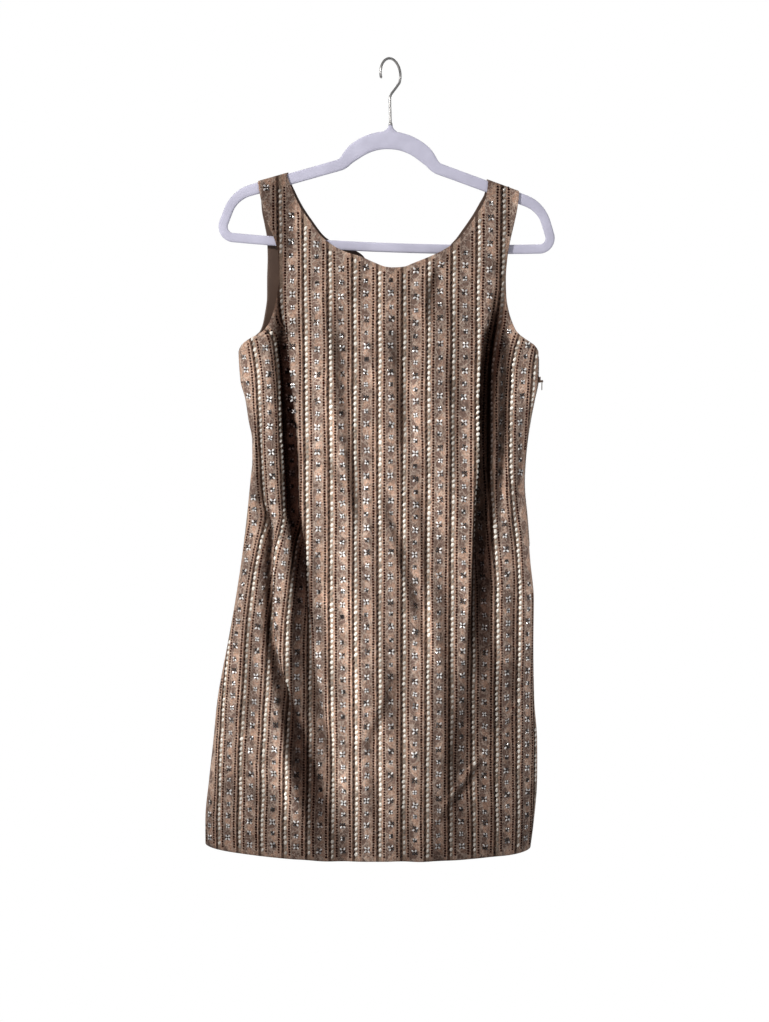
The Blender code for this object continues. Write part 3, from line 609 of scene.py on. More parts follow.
def body_grid(panel):
    """Places of the rows from the neckline's lowest point to the hem, hem first."""
    low = NECKLINE[panel, "left"][0][1]
    drops = np.linspace(HEM_DROP, low, int((HEM_DROP - low) / ROW_FINE) + 1)
    steps = np.linspace(0, 1, HALF_COLUMNS)
    grid = []
    for drop in drops:
        left, right = (edge(panel, np.array(s), drop) for s in SIDES.values())
        ends = length_at(panel, np.array([left, right]), np.full(2, drop))
        lengths = np.concatenate([ends[0] * (1 - steps), (ends[1] * steps)[1:]])
        places = across_at(panel, lengths, np.full(len(lengths), drop))
        places[0], places[-1] = left, right
        grid.append(np.stack([places, np.full(len(places), drop)], axis=1))
    return np.array(grid)


def strap_grid(panel, side, first):
    """Places of a strap's rows, from above the first row to over the hanger's arm."""
    sign = np.array(SIDES[side])
    neck = neckline_points(panel, side, STRAP_FINE + 1)
    low = neck[0, 1]
    arm_drop = shoulder_line(edge(panel, sign, 170.0))
    spread = (first[:, 0] - first[0, 0]) / (first[-1, 0] - first[0, 0])
    even = np.linspace(0, 1, len(spread))
    rows = []
    for i in range(1, STRAP_FINE + 1):
        share = (i / STRAP_FINE) ** STRAP_SPREAD
        edge_drop = low + (arm_drop - low) * share
        edge_across = edge(panel, sign, edge_drop)
        t = spread + (even - spread) * math.sqrt(share)
        across = edge_across + (neck[i, 0] - edge_across) * t
        drop = edge_drop + (neck[i, 1] - edge_drop) * t
        rows.append(np.stack([across, drop], axis=1))
    top = rows[-1]
    top[:, 1] = shoulder_line(top[:, 0])
    rows += [top - [0, QUARTER * i / TURN_FINE] for i in range(1, TURN_FINE + 1)]
    return np.array(rows)


def panel_cloth(panel):
    """The panel as a thin closed shell: outer net, dark inside and a rim round its edge."""
    body = body_grid(panel)
    rows, columns = body.shape[:2]
    half, count = HALF_COLUMNS, rows * columns
    outward = panel == "front"
    places = [body.reshape(-1, 2)]
    quads = [grid_faces(rows, columns, flip=not outward)]
    last_row = np.arange(count - columns, count)
    for side in SIDES:
        part = slice(None, half) if side == "left" else slice(None, half - 2, -1)
        patch = strap_grid(panel, side, body[-1][part])
        index = count + np.arange(patch.shape[0] * half).reshape(-1, half)
        index = np.concatenate([last_row[part][None], index])
        quad = np.stack([index[:-1, :-1], index[:-1, 1:], index[1:, 1:], index[1:, :-1]], axis=-1)
        quad = quad.reshape(-1, 4)
        quads.append(quad if (side == "left") == outward else quad[:, ::-1])
        places.append(patch.reshape(-1, 2))
        count += patch.shape[0] * half
    places, quads = np.concatenate(places), np.concatenate(quads)
    solid = cloth_point(panel, places[:, 0], places[:, 1])
    cross = np.cross(solid[quads[:, 2]] - solid[quads[:, 0]],
                     solid[quads[:, 3]] - solid[quads[:, 1]])
    normals = np.zeros_like(solid)
    for k in range(4):
        np.add.at(normals, quads[:, k], cross)
    normals = unit(normals)
    sign = FACING[panel]
    layers = [solid - normals * inset for inset in (FACE_INSET, FACE_INSET + SHELL)]
    for face in layers:
        face[:, 1] = sign * np.maximum(sign * face[:, 1], SEAM_GAP / 2)
    edges = np.concatenate([quads[:, [k, (k + 1) % 4]] for k in range(4)])
    _, index, uses = np.unique(np.sort(edges, axis=1), axis=0, return_index=True,
                               return_counts=True)
    rim = edges[index[uses == 1]]
    n = len(solid)
    rim_quads = np.stack([rim[:, 1], rim[:, 0], rim[:, 0] + n, rim[:, 1] + n], axis=1)
    faces = np.concatenate([quads, quads[:, ::-1] + n, rim_quads])
    which = np.repeat([0, 1, 0], [len(quads), len(quads), len(rim)])
    layout = np.stack([length_at(panel, places[:, 0], places[:, 1]) / REPEAT,
                       -places[:, 1] / FLOWER_STEP], axis=1)
    area = np.linalg.norm(cross, axis=1).sum() / 2 * MM * MM
    # painted shade of the folds, creases and shaded cloth at each point
    deep = shade_share(panel, solid[:, 0], places[:, 0], places[:, 1])
    return np.concatenate(layers), faces, which, np.tile(layout, (2, 1)), np.tile(deep, 2), area


# ---------------------------------------------------------------- beads

SEED_OFF = 9.1  # columns of dark seeds each side of a flower
CRESCENT_OFF = 14.7
OVAL_OFF = 18.3
COLUMNS_EACH_SIDE = 10
SEED_STEP = 3.7
OVAL_STEP = 7.2
COLUMN_TOP = 160.0
JITTER = 0.12
# Half of each bead's width and length, and its height over its foot.
SEED_SIZE = (1.7, 1.7, 1.4)
CRESCENT_SIZE = (1.3, 3.5, 1.3)
OVAL_HIGH = 1.5
LARGE_FLOWER = (3.1, 2.5, 1.45)  # how far its petals reach, and their half sizes
SMALL_FLOWER = (2.1, 1.9, 1.35)
PETAL_HIGH = 1.25
PETAL_GAP_SIZE = (1.5, 0.85, 1.0)
FLOWER_HEART_SIZE = (1.25, 1.25, 1.7)
ARMHOLE_MARGIN, SHOULDER_MARGIN = 1.2, 0.8  # bare cloth there
FRAME_STEP = 0.6  # the net's slope is measured over this much cloth each way
NECK_CURVE_FINE, NECK_BATCH = 160, 2000


def dome(sides, levels):
    """A half ball of radius 1 standing on the plane z = 0."""
    points, faces = [], []
    for level in range(levels):
        rise = math.pi / 2 * level / levels
        for k in range(sides):
            turn = 2 * math.pi * (k + 0.5 * level) / sides
            points.append((math.cos(rise) * math.cos(turn), math.cos(rise) * math.sin(turn),
                           math.sin(rise)))
    points.append((0, 0, 1))
    for level in range(levels - 1):
        for k in range(sides):
            a, b = level * sides + k, level * sides + (k + 1) % sides
            faces += [(a, b, a + sides), (b, b + sides, a + sides)]
    crown = (levels - 1) * sides
    faces += [(crown + k, crown + (k + 1) % sides, len(points) - 1) for k in range(sides)]
    return np.array(points, float), np.array(faces)


SEED = dome(6, 2)
BEAD = dome(8, 2)


def inside(panel, across, drop, neck=6.0, side=2.6, hem=6.0):
    """Which places lie on the panel, away from its edges."""
    limit = np.abs(edge(panel, across, drop)) - side
    limit = limit - np.where(drop < UNDERARM_DROP, ARMHOLE_MARGIN, 0)
    keep = np.abs(across) < limit
    keep &= drop < HEM_DROP - hem
    keep &= drop > shoulder_line(across) - QUARTER + SHOULDER_MARGIN
    for name in SIDES:
        curve = neckline_points(panel, name, NECK_CURVE_FINE)
        near = np.where(across < 0 if name == "left" else across >= 0)[0]
        for part in np.array_split(near, max(1, len(near) // NECK_BATCH)):
            if not len(part):
                continue
            away = np.hypot(across[part, None] - curve[:, 0], drop[part, None] - curve[:, 1])
            bound = np.interp(drop[part], curve[::-1, 1], np.abs(curve[::-1, 0]))
            out = (drop[part] < curve[0, 1]) & (np.abs(across[part]) < bound)
            keep[part] &= (away.min(axis=1) > neck) & ~out
    return keep


def frames(panel, across, drop):
    """Points of the net with its directions across, up and out."""
    here = cloth_point(panel, across, drop)
    step = FRAME_STEP
    right = cloth_point(panel, across + step, drop) - cloth_point(panel, across - step, drop)
    up = cloth_point(panel, across, drop - step) - cloth_point(panel, across, drop + step)
    out = unit(np.cross(right, up) * -FACING[panel])
    up = unit(up - out * (up * out).sum(axis=1)[:, None])
    return here - out * FACE_INSET, np.cross(up, out), up, out


def scatter(panel, shape, across, drop, size, lean=0.0, tip=0.0, reach=0.0):
    """One array of a shape's copies: size is (wide, tall, high), lean turns each in the net's
    plane, tip tilts it, and reach moves it across in that turned plane."""
    base, right, up, z = frames(panel, across, drop)
    count = len(across)
    lean = np.broadcast_to(lean, count)[:, None]
    x = right * np.cos(lean) + up * np.sin(lean)
    y = up * np.cos(lean) - right * np.sin(lean)
    base_x = base[:, 0]
    base = base + x * reach
    if tip:
        most = (SHELL - BEAD_SUNK) / max(np.max(s) for s in size)
        a, b = (np.clip(rng.normal(0, tip, (count, 1)), -most, most) for _ in range(2))
        z = unit(z + a * x + b * y)
        x = unit(x - z * (x * z).sum(axis=1)[:, None])
        y = np.cross(z, x)
    points, faces = shape
    made = (base - z * BEAD_SUNK)[:, None]
    for k, (axis, scale) in enumerate(zip((x, y, z), size)):
        scale = np.broadcast_to(scale, count)[:, None, None]
        made = made + axis[:, None] * points[:, k:k + 1] * scale
    index = faces[None] + (np.arange(count) * len(points))[:, None, None]
    tones = np.repeat(rng.random(count), len(points))
    # painted shade of the folds and creases where each bead sits
    deep = np.repeat(shade_share(panel, base_x, across, drop), len(points))
    return made.reshape(-1, 3), index.reshape(-1, 3), tones, deep


def joined(parts):
    points, faces, tones, deep = zip(*parts)
    starts = np.concatenate([[0], np.cumsum([len(p) for p in points])[:-1]])
    faces = np.concatenate([f + start for f, start in zip(faces, starts)])
    return np.concatenate(points), faces, np.concatenate(tones), np.concatenate(deep)


def column(panel, length, step, phase, wander=0.35, **margins):
    """Places down one column of beads at a length of cloth from the middle, each with its
    number from the top."""
    drop = np.arange(COLUMN_TOP + phase, HEM_DROP, step)
    drop = drop + rng.normal(0, JITTER * step / SEED_STEP, len(drop))
    across = across_at(panel, length, drop)
    across = across + wander * np.sin(drop / 23.0 + length) + rng.normal(0, JITTER, len(drop))
    keep = inside(panel, across, drop, **margins)
    return across[keep], drop[keep], np.arange(len(drop))[keep]


def panel_beads(panel):
    """Arrays of all the beads of a panel: dark seeds, dark crescents, silver ovals, petals."""
    seeds, crescents, ovals, petals = [], [], [], []
    for k in range(-COLUMNS_EACH_SIDE, COLUMNS_EACH_SIDE + 1):
        middle = k * REPEAT
        for off in (-SEED_OFF, SEED_OFF):
            across, drop, order = column(panel, middle + off, SEED_STEP, rng.random() * 3)
            if len(across):
                big = rng.normal(1, 0.08, len(across))
                size = (SEED_SIZE[0] * big, SEED_SIZE[1] * big, SEED_SIZE[2])
                seeds.append(scatter(panel, SEED, across, drop, size))
        phase = rng.random() * 7
        across, drop, order = column(panel, middle + CRESCENT_OFF, OVAL_STEP, phase)
        if len(across):
            lean = rng.normal(-0.3, 0.2, len(across))
            crescents.append(scatter(panel, SEED, across, drop, CRESCENT_SIZE, lean))
        across, drop, order = column(panel, middle + OVAL_OFF, OVAL_STEP, phase + 2.4)
        if len(across):
            lean = rng.normal(-0.45, 0.22, len(across))
            wide, tall = rng.normal(2.05, 0.2, len(across)), rng.normal(3.1, 0.18, len(across))
            ovals.append(scatter(panel, BEAD, across, drop, (wide, tall, OVAL_HIGH), lean, 0.16))
        across, drop, order = column(panel, middle, FLOWER_STEP, rng.random() * 8, 0.6,
                                     neck=9.0, side=6.5, hem=9.0)
        turn = rng.normal(0, 0.12, len(across))
        for first, (reach, long, wide) in enumerate((LARGE_FLOWER, SMALL_FLOWER)):
            part = order % 2 == first
            a, d = across[part], drop[part]
            if not len(a):
                continue
            for quarter in range(4):
                lean = turn[part] + math.pi / 4 + quarter * math.pi / 2
                petals.append(scatter(panel, SEED, a, d, (long, wide, PETAL_HIGH), lean, 0.22,
                                      reach))
                crescents.append(scatter(panel, SEED, a, d, PETAL_GAP_SIZE, lean + math.pi / 4,
                                         reach=reach * 1.02))
            crescents.append(scatter(panel, SEED, a, d, FLOWER_HEART_SIZE))
    return joined(seeds), joined(crescents), joined(ovals), joined(petals)


# ---------------------------------------------------------------- materials


class Graph:
    """Short calls for a node tree: a value is a number or another node's output."""

    def __init__(self, tree):
        self.tree = tree

    def feed(self, node, inputs):
        """Sets or links a node's inputs, by their names or numbers."""
        for key, value in inputs.items():
            if hasattr(value, "is_output"):
                self.tree.links.new(value, node.inputs[key])
            else:
                node.inputs[key].default_value = value
        return node

    def node(self, kind, inputs=None, **settings):
        made = self.tree.nodes.new(kind)
        for key, value in settings.items():
            setattr(made, key, value)
        return self.feed(made, inputs or {})

    def math(self, operation, *values):
        inputs = dict(enumerate(values))
        return self.node("ShaderNodeMath", inputs, operation=operation).outputs[0]

    def vector(self, operation, inputs):
        return self.node("ShaderNodeVectorMath", inputs, operation=operation).outputs[0]

    def times(self, a, b):
        return self.math("MULTIPLY", a, b)

    def minus(self, a, b):
        return self.math("SUBTRACT", a, b)

    def times_plus(self, a, b, c):
        return self.math("MULTIPLY_ADD", a, b, c)

    def ramp(self, value, low, high):
        """0 at low and 1 at high, smoothly."""
        return self.node("ShaderNodeMapRange", {"Value": value, "From Min": low, "From Max": high},
                         interpolation_type="SMOOTHSTEP").outputs["Result"]

    def near(self, value, middle, low, high):
        """1 where the value is within low of the middle, and 0 beyond high."""
        away = self.math("ABSOLUTE", self.minus(value, middle))
        return self.minus(1.0, self.ramp(away, low, high))

    def mix(self, share, a, b):
        a, b = ((*value, 1) if isinstance(value, tuple) else value for value in (a, b))
        return self.node("ShaderNodeMix", {"Factor": share, 6: a, 7: b},
                         data_type="RGBA").outputs[2]

    def noise(self, place, scale, detail=2.0, rough=0.5):
        return self.node("ShaderNodeTexNoise", {"Vector": place, "Scale": scale, "Detail": detail,
                                                "Roughness": rough}).outputs["Fac"]

    def bump(self, height, distance, strength=1.0):
        return self.node("ShaderNodeBump", {"Height": height, "Distance": distance,
                                            "Strength": strength}).outputs["Normal"]

    def place(self, kind="Object"):
        return self.node("ShaderNodeTexCoord").outputs[kind]

    def attribute(self, name):
        return self.node("ShaderNodeAttribute", attribute_name=name).outputs["Fac"]


def material(name):
    made = bpy.data.materials.new(name)
    made.use_nodes = True
    return made, Graph(made.node_tree), made.node_tree.nodes["Principled BSDF"]


BAND_COLOUR = (0.655, 0.415, 0.298)
STRIP_COLOUR = (0.268, 0.170, 0.131)
SEED_LINE = (0.11, 0.050, 0.036)
VINE_COLOUR = (0.68, 0.53, 0.42)
THREAD_COLOUR = (0.86, 0.70, 0.58)
THREAD_SHADE = (0.14, 0.085, 0.065)
ROPE_DARK = (0.078, 0.036, 0.021)
ROPE_PALE = (0.47, 0.35, 0.26)
PAINTED_FOLD_SHADE = (0.058, 0.038, 0.036)  # painted shade: what light is left on the floor of a deep fold
NET_MESH = 1.25  # from one hole of the net to the next


def shaded(g, colour, factor):
    """A colour times a number, darkened by painted shade in folds, lightened by painted light on
    ridges.
    """
    lit = g.vector("SCALE", {0: colour, "Scale": factor})
    lost = tuple(tint - 1 for tint in PAINTED_FOLD_SHADE)
    darker = g.vector("SCALE", {0: lost, "Scale": g.attribute("deep")})
    return g.vector("MULTIPLY_ADD", {0: darker, 1: lit, 2: lit})


# How much light the painted shade of the folds leaves, for dimming gloss there.
def fold_shade(g):
    return g.minus(1.0, g.math("MAXIMUM", g.attribute("deep"), 0.0))


def net_material():
    """Net over satin, embroidered in strips: pale leaves between the flowers, cords, mesh."""
    made, g, shader = material("beaded_net")
    flat = g.node("ShaderNodeUVMap", uv_map="cloth").outputs[0]
    repeat, down = g.node("ShaderNodeSeparateXYZ", {0: flat}).outputs[:2]
    shifted = g.math("ADD", repeat, 0.5)
    off = g.minus(g.math("FRACT", shifted), 0.5)
    off = g.times(off, REPEAT)  # millimetres from the flower column
    away = g.math("ABSOLUTE", off)
    space = g.place()
    blotch = g.noise(space, 26.0, 3.0, 0.6)
    patch = g.noise(space, 95.0, 2.0, 0.55)
    fine = g.noise(space, 520.0, 2.0, 0.6)

    # Winding leaves and vines in the strip round the flowers, and threads over everything.
    bare = g.ramp(away, 6.9, 8.2)
    turns = g.times(g.times_plus(g.math("FLOOR", shifted), 0.37, down), math.pi)
    wild = g.times(g.minus(patch, 0.5), 13.0)
    sway = g.times_plus(g.math("SINE", turns), 5.0, wild)
    leaf = g.times(g.ramp(g.minus(off, sway), -1.6, 1.6), g.ramp(blotch, 0.32, 0.56))
    vine = g.times(g.near(off, sway, 0.4, 1.3), g.minus(1.0, bare))
    pale, dark = (g.near(g.noise(space, scale, 1.0), 0.5, 0.02, 0.07) for scale in (150.0, 210.0))
    cord = g.near(away, SEED_OFF - 2.3, 0.3, 0.9)
    rope = g.math("MODULO", g.math("ADD", off, REPEAT), REPEAT)
    colour = STRIP_COLOUR
    for share, strength, tint in (
        (leaf, 0.95, BAND_COLOUR), (vine, 0.45, VINE_COLOUR), (bare, 1.0, BAND_COLOUR),
        (dark, 0.45, THREAD_SHADE), (pale, 0.42, THREAD_COLOUR),
        (g.near(rope, OVAL_OFF, 1.4, 2.5), 0.85, ROPE_PALE),
        (g.near(rope, CRESCENT_OFF - 0.3, 1.4, 2.5), 0.85, ROPE_DARK),
        (g.near(away, SEED_OFF, 0.9, 1.9), 0.12, SEED_LINE), (cord, 0.35, VINE_COLOUR),
    ):
        colour = g.mix(g.times(share, strength), colour, tint)

    holes = g.times(*(g.math("SINE", g.times(value, 2 * math.pi * pitch / NET_MESH))
                      for value, pitch in ((repeat, REPEAT), (down, FLOWER_STEP))))
    shade = g.times_plus(g.minus(blotch, 0.5), 1.1, 1.0)
    shade = g.times(shade, g.times_plus(fine, 1.3, 0.35))
    shade = g.times(shade, g.times_plus(holes, 0.16, 0.95))
    raised = g.math("MAXIMUM", g.math("MAXIMUM", vine, cord), pale)
    height = g.times_plus(fine, 1.6, g.times_plus(raised, 0.8, g.times(holes, 0.25)))
    # colour darkened and gloss dimmed by the painted shade of the folds and creases
    g.feed(shader, {"Base Color": shaded(g, colour, shade), "Normal": g.bump(height, 0.0007),
                    "Roughness": 0.62, "Specular IOR Level": g.times(fold_shade(g), 0.3)})
    return made


def lining_material():
    made, g, shader = material("lining_satin")
    space = g.place()
    cloudy = g.noise(space, 30.0, 3.0)
    wave = g.node("ShaderNodeTexWave", {"Scale": 900.0, "Vector": space}, wave_type="BANDS",
                  bands_direction="DIAGONAL")
    g.feed(shader, {"Base Color": g.mix(cloudy, (0.055, 0.030, 0.020), (0.12, 0.070, 0.048)),
                    "Normal": g.bump(wave.outputs["Fac"], 0.0001, 0.3), "Roughness": 0.5})
    return made


def glass_material(name, dark, light, rough, metallic, coat, split=(0.1, 0.9)):
    """Beads coloured dark to light by each one's tone, with colour and gloss dimmed by painted
    fold shade.
    """
    made, g, shader = material(name)
    tone = g.attribute("tone")
    speck = g.noise(g.place(), 900.0, 1.0)
    colour = g.mix(g.ramp(tone, *split), dark, light)
    g.feed(shader, {
        "Base Color": shaded(g, colour, g.times_plus(speck, 0.8, 0.6)),
        "Roughness": g.times_plus(tone, 0.15, rough), "Normal": g.bump(speck, 0.0002, 0.25),
        "Metallic": metallic, "Specular IOR Level": g.times(fold_shade(g), 0.1 + coat * 0.8),
        "Coat Weight": g.times(fold_shade(g), coat), "Coat Roughness": 0.08,
    })
    return made


def flock_material():
    made, g, shader = material("hanger_flock")
    space = g.place()
    broad, fine = g.noise(space, 35.0, 3.0), g.noise(space, 1600.0, 1.0)
    colour = g.mix(g.ramp(broad, 0.3, 0.7), (0.44, 0.43, 0.535), (0.515, 0.505, 0.62))
    g.feed(shader, {
        "Base Color": g.mix(g.times(fine, 0.2), colour, (0.66, 0.65, 0.74)),
        "Normal": g.bump(fine, 0.0004, 0.5), "Roughness": 0.95, "Sheen Weight": 0.3,
        "Sheen Roughness": 0.4, "Sheen Tint": (0.9, 0.9, 1, 1),
    })
    return made


def metal_material(name, dark, light, rough, metallic, scale):
    made, g, shader = material(name)
    space = g.place()
    cloudy, grain = g.noise(space, 60.0, 3.0), g.noise(space, scale, 2.0)
    g.feed(shader, {"Base Color": g.mix(cloudy, dark, light), "Metallic": metallic,
                    "Roughness": g.times_plus(grain, 0.25, rough),
                    "Normal": g.bump(grain, 0.0001, 0.35)})
    return made


net, lining = net_material(), lining_material()
dark_glass = glass_material("dark_glass", (0.020, 0.003, 0.001), (0.045, 0.009, 0.004),
                            0.45, 0.0, 0.0)
smoke = glass_material("smoke_beads", (0.012, 0.005, 0.003), (0.060, 0.032, 0.020),
                       0.4, 0.0, 0.06)
# pale silver-lined beads whose light end, near white on most beads, is partly painted highlight
silver = glass_material("silver_beads_and_painted_highlight", (0.35, 0.29, 0.235), (1.0, 0.95, 0.86),
                        0.28, 0.1, 0.35, split=(0.0, 0.42))
# by tone, some petals are near white as painted glints and the rest near black as painted dark
# reflections
crystal = glass_material("crystal_petals_and_painted_glints", (0.05, 0.045, 0.045), (1.0, 0.98, 0.96),
                         0.15, 0.3, 0.6, split=(0.2, 0.42))
flock = flock_material()
wire = metal_material("hook_wire", (0.30, 0.29, 0.28), (0.50, 0.49, 0.48), 0.22, 1.0, 800.0)
enamel = metal_material("zip_metal", (0.075, 0.045, 0.030), (0.16, 0.10, 0.07), 0.32, 0.6, 900.0)
steel = metal_material("zip_steel", (0.35, 0.27, 0.21), (0.52, 0.42, 0.34), 0.25, 0.9, 900.0)

# ---------------------------------------------------------------- the dress

BEADS = (("seeds", dark_glass), ("crescents", smoke), ("ovals", silver), ("petals", crystal))
for panel in FACING:
    points, faces, which, layout, deep, area = panel_cloth(panel)
    cloth = piece_of(f"{panel}_cloth", points, [faces], [net, lining],
                     layout=layout, deep=deep, which=which)
    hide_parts(f"{panel}_panel")
    for (name, stuff), (points, faces, tones, deep) in zip(BEADS, panel_beads(panel)):
        piece_of(f"{panel}_{name}", points, [faces], [stuff],
                               tones=tones, deep=deep, smooth=name != "petals")

# ---------------------------------------------------------------- hanger

SHOULDER_RADIUS = 45.0
SHOULDER_TURN = 52.5
END_LENGTH = 16.8
CORNER_RADIUS = 14.0
BAR_BOW = 5.5
BAR_FINE = 14
SECTION_SIDES = 16
SECTION_POWER = 0.55  # squares the moulding's section

HANGER_HEIGHTS = Table(
    ("run", "height"),
    (0, 23), (48, 21.5), (70, 15.5), (84, ARM_HEIGHT), (190, ARM_HEIGHT), (235, 12.2),
    (290, 12.2), (560, 12.2),
)
NECK_SECTIONS = Table(  # half widths of the neck, from inside the arch up to its top
    ("drop", "wide", "deep"),
    (0, 2.8, 2.6), (2.4, 3.3, 2.6), (5, 5.2, 2.45), (7.2, 8.2, 2.3), (12, 10, 2.2),
)
NECK_LENGTH, NECK_RINGS, LATHE_SIDES = 12, 9, 20
COLLAR = ((3.2, 2.0, 2.0), (3.0, 2.4, 2.4), (0.4, 2.6, 2.5), (0.1, 2.3, 2.3))  # above the neck

HOOK_WIRE = 1.7  # radius
HOOK_RADIUS = 19.5  # centre line of the curl
HOOK_TWIST = 48.0  # degrees that the curl is turned out of the hanger's plane
HOOK_BEND_DROP = 46.0
HOOK_FOOT_TURN = -24.0  # the curl begins this far below level, in degrees
HOOK_TIP_TURN = 206.0
CURL_FINE, HOOK_RINGS, HOOK_SIDES = 60, 130, 14


def tilt_points(points, aside=HANGER_ASIDE):
    x, y, z = np.moveaxis(np.asarray(points, float), -1, 0)
    x, drop = tilted(x, -z, aside)
    return np.stack([x, y, -drop], axis=-1)


def hanger_line():
    """Centre line of one half of the hanger, finely, from the arch's top round to the bar:
    places across and drops, the heading and the run."""
    place, heading, run = np.array([0.0, NECK_TOP_DROP + ARCH_DROP]), 0.0, 0.0
    stations = [(*place, heading, run)]
    for radius, amount, steps in (
        (ARCH_RADIUS, ARCH_TURN, 16), (BEND_RADIUS, ARM_SLOPE - ARCH_TURN, 7),
        (None, ARM_LENGTH, 6), (SHOULDER_RADIUS, SHOULDER_TURN, 12), (None, END_LENGTH, 2),
        (CORNER_RADIUS, 180 - ARM_SLOPE - SHOULDER_TURN, 14),
    ):
        for _ in range(steps):
            step = 0 if radius is None else math.radians(amount) / steps
            chord = amount / steps if radius is None else 2 * radius * math.sin(abs(step) / 2)
            middle = heading + step / 2
            place = place + chord * np.array([math.cos(middle), math.sin(middle)])
            heading += step
            run += chord
            stations.append((*place, heading, run))
    across, drop = place
    for share in np.linspace(0, 1, BAR_FINE + 1)[1:]:
        bow = BAR_BOW * (1 - (1 - share) ** 2)
        stations.append((across * (1 - share), drop + bow, math.pi, run + across * share))
    return stations


def hanger_body():
    half = hanger_line()
    ring = half + [(-x, d, -h, r) for x, d, h, r in reversed(half[1:-1])]
    wide, deep = (np.sign(c) * np.abs(c) ** SECTION_POWER
                  for c in ring_turns(SECTION_SIDES, math.pi / SECTION_SIDES))
    points = []
    for x, drop, heading, run in ring:
        offset = float(HANGER_HEIGHTS.at(run, "height")) / 2 * wide
        points.append(np.stack([x + offset * math.sin(heading), HANGER_THICK / 2 * deep,
                                offset * math.cos(heading) - drop], axis=1))
    faces = tube_faces(len(points), SECTION_SIDES, closed=True)
    made = piece_of("hanger_body", tilt_points(np.concatenate(points)), [faces], [flock])
    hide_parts("hanger_frame")


def lathe(name, rings, stuff):
    """A closed solid through rings of (drop, half width, half depth)."""
    sides, count = LATHE_SIDES, len(rings)
    c, s = ring_turns(sides)
    points = [np.stack([w * c, t * s, np.full(sides, -d)], axis=1) for d, w, t in rings]
    faces = tube_faces(count, sides)[:, [1, 0, 3, 2]]
    caps = np.array([np.arange(sides), (count - 1) * sides + np.arange(sides)[::-1]])
    points = tilt_points(np.concatenate(points))
    piece_of(name, points, [faces, caps[:, ::-1]], [stuff])


def hook():
    """Smooth round wire from the neck, out to one side and over in a curl."""
    centre_drop, bend = HOOK_RADIUS - HOOK_WIRE, HOOK_BEND_DROP
    turns = np.radians(np.linspace(HOOK_FOOT_TURN, HOOK_TIP_TURN, CURL_FINE))
    curl = [(HOOK_RADIUS * math.cos(turn), centre_drop - HOOK_RADIUS * math.sin(turn))
            for turn in turns]
    (out, drop), kink = curl[0], 0.6
    path = [(0, NECK_TOP_DROP - SEAM_GAP), (0, bend + 16), (0, bend + 4), (kink, bend + 0.5)]
    path += [(out * t + kink * (1 - t), bend - 1 + (drop - bend + 1) * t)
             for t in (0.1, 0.5, 0.88)]
    path = np.array(path + curl)
    run = run_along(path)
    table = Table(("run", "out", "drop"), *np.column_stack([run, path]))
    runs = np.linspace(0, run[-1], HOOK_RINGS)
    out, drop = table.at(runs, "out"), table.at(runs, "drop")
    twist = math.radians(HOOK_TWIST)
    lean = np.clip((drop - bend) / (NECK_TOP_DROP - bend), 0, None)
    line = np.stack([out * math.cos(twist) + HANGER_ASIDE * lean, out * math.sin(twist),
                     -drop], axis=1)
    flat = np.array([-math.sin(twist), math.cos(twist), 0])
    side = unit(np.cross(unit(np.gradient(line, axis=0)), flat))
    c, s = ring_turns(HOOK_SIDES)
    tail = np.clip((run[-1] - runs) / HOOK_WIRE, 0, 1)
    radius = HOOK_WIRE * np.sqrt(np.clip(1 - (1 - tail) ** 2, 0.02, 1))
    rings = line[:, None] + radius[:, None, None] * (
        c[None, :, None] * flat + s[None, :, None] * side[:, None])
    ends = np.arange(HOOK_SIDES)
    caps = np.array([ends[::-1], (HOOK_RINGS - 1) * HOOK_SIDES + ends])
    made = piece_of("hook_curl", tilt_points(rings.reshape(-1, 3), 0.0),
                    [tube_faces(HOOK_RINGS, HOOK_SIDES), caps], [wire])
    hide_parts("hanger_hook")


hanger_body()
lathe("hanger_neck", [
    (NECK_TOP_DROP + d, float(NECK_SECTIONS.at(d, "wide")), float(NECK_SECTIONS.at(d, "deep")))
    for d in np.linspace(0, NECK_LENGTH, NECK_RINGS)
], flock)
lathe("hook_collar", [(NECK_TOP_DROP - d, w, t) for d, w, t in COLLAR], wire)
hook()

# ---------------------------------------------------------------- zip in the side seam

ZIP_TOP, ZIP_END, TOOTH_STEP = 388.0, 640.0, 1.7
SLIDER_DROPS = (409, 421)
TOOTH_HALF = (0.55, 0.95, 0.55)
TOOTH_ASIDE, TOOTH_IN = 0.35, 0.15
TAPE_DEEP, TAPE_HALF, TAPE_OUT, TAPE_SEAT, TAPE_PAST = 4.0, 0.8, -0.1, 0.25, 4


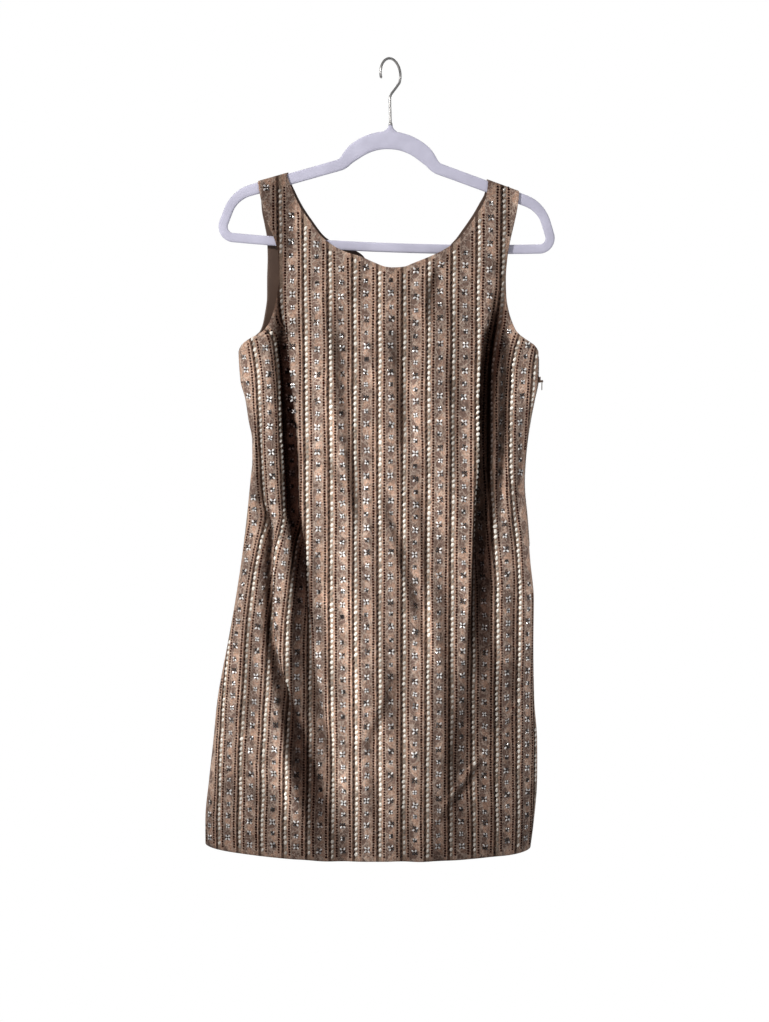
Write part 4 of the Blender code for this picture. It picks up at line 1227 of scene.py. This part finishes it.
def zip_teeth():
    """Teeth above and below the slider, and the tapes that carry them between the seam's edges."""
    drops = np.arange(ZIP_TOP, ZIP_END, TOOTH_STEP)
    drops = drops[(drops < SLIDER_DROPS[0]) | (drops > SLIDER_DROPS[1])]
    points, faces = [], []
    cube = np.array([(x, y, z) for x in (-1, 1) for y in (-1, 1) for z in (-1, 1)], float)
    quads = np.array([(0, 1, 3, 2), (4, 6, 7, 5), (0, 4, 5, 1), (2, 3, 7, 6), (0, 2, 6, 4),
                      (1, 5, 7, 3)])
    for k, drop in enumerate(drops):
        x = float(SEAM.at(drop, "right")) - TOOTH_IN
        side = TOOTH_ASIDE if k % 2 else -TOOTH_ASIDE
        points.append(cube * TOOTH_HALF + (x, side, -drop))
        faces.append(quads + 8 * k)
    levels = np.arange(ZIP_TOP - TAPE_PAST, ZIP_END + TAPE_PAST, 1.0)
    seated = (levels > SLIDER_DROPS[0]) & (levels < SLIDER_DROPS[1])
    outer = SEAM.at(levels, "right") + np.where(seated, TAPE_SEAT, TAPE_OUT)
    inner = outer - TAPE_DEEP
    corners = ((inner, -TAPE_HALF), (outer, -TAPE_HALF), (outer, TAPE_HALF), (inner, TAPE_HALF))
    tape = np.stack([np.stack([x, np.full_like(x, y), -levels], axis=-1) for x, y in corners],
                    axis=1)
    ends = np.array([(3, 2, 1, 0), (0, 1, 2, 3)]) + [[0], [4 * (len(levels) - 1)]]
    wraps = np.concatenate([tube_faces(len(levels), 4), ends]) + 8 * len(drops)
    teeth = np.concatenate(faces)
    which = np.repeat([0, 1], [len(teeth), len(wraps)])
    piece_of("zip_teeth", np.concatenate(points + [tape.reshape(-1, 3)]), [teeth, wraps],
             [steel, lining], which=which, smooth=False)


zip_teeth()
for node in ("zip_slider", "zip_pull"):
    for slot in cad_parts[node].material_slots:
        slot.material = enamel

# ---------------------------------------------------------------- floor, light and camera

FLOOR_DROP, FLOOR_RADIUS, FLOOR_SIDES = 1.95, 6.0, 64  # metres
PHOTO_FOCUS, PHOTO_HIGH = 1213.35, 1022  # pixels
SENSOR_HIGH = 24  # millimetres
CAMERA_DOWN = 8  # degrees

floor_mesh = bpy.data.meshes.new("floor")
rim = FLOOR_RADIUS * np.stack(ring_turns(FLOOR_SIDES), axis=1)
floor_mesh.from_pydata([(x, y, -FLOOR_DROP) for x, y in rim.tolist()], [],
                       [tuple(range(FLOOR_SIDES))])
floor = placed("floor", floor_mesh)
pale, g, shader = material("pale_floor")
g.feed(shader, {"Base Color": (0.86, 0.86, 0.86, 1), "Roughness": 0.8})
seen = g.node("ShaderNodeLightPath").outputs["Is Camera Ray"]
white = g.node("ShaderNodeEmission").outputs[0]
joint = g.node("ShaderNodeMixShader", {0: seen, 1: shader.outputs[0], 2: white}).outputs[0]
g.feed(g.tree.nodes["Material Output"], {"Surface": joint})
floor_mesh.materials.append(pale)


def lamp(name, place, aim, size, power, colour=(1, 1, 1)):
    data = bpy.data.lights.new(name, "AREA")
    data.shape, data.size, data.energy, data.color = "DISK", size, power, colour
    made = placed(name, data)
    made.location = place
    away = unit(np.array(place) - np.array(aim))
    made.rotation_euler = (math.acos(away[2]), 0, math.atan2(away[1], away[0]) + math.pi / 2)


lamp("key", (-1.6, -1.6, 0.75), (0, 0, -0.45), 0.35, 56, (1, 0.985, 0.965))
lamp("fill", (1.7, -2.2, 0.5), (0, 0, -0.4), 1.2, 11)
lamp("back", (0.3, 2.9, 0.6), (0, 1.6, -1.95), 2.4, 64)

world = bpy.data.worlds.new("studio")
bpy.context.scene.world = world
world.use_nodes = True
g = Graph(world.node_tree)
up = g.node("ShaderNodeSeparateXYZ", {0: g.place("Generated")}).outputs[2]
sky = g.mix(g.ramp(up, -0.5, 0.7), (0.08, 0.08, 0.085), (0.42, 0.42, 0.43))
seen = g.node("ShaderNodeLightPath").outputs["Is Camera Ray"]
g.feed(g.tree.nodes["Background"], {"Color": g.mix(seen, sky, (1.0, 1.0, 1.0)), "Strength": 1.0})

camera_data = bpy.data.cameras.new("camera")
camera_data.sensor_fit, camera_data.sensor_height = "VERTICAL", SENSOR_HIGH
camera_data.lens = PHOTO_FOCUS * SENSOR_HIGH / PHOTO_HIGH
camera = placed("camera", camera_data)
camera.location = (-0.008632, -1.65, -0.36247)
camera.rotation_euler = (math.radians(90 - CAMERA_DOWN), 0, 0)
bpy.context.scene.camera = camera
bpy.context.scene.view_settings.view_transform = "Standard"
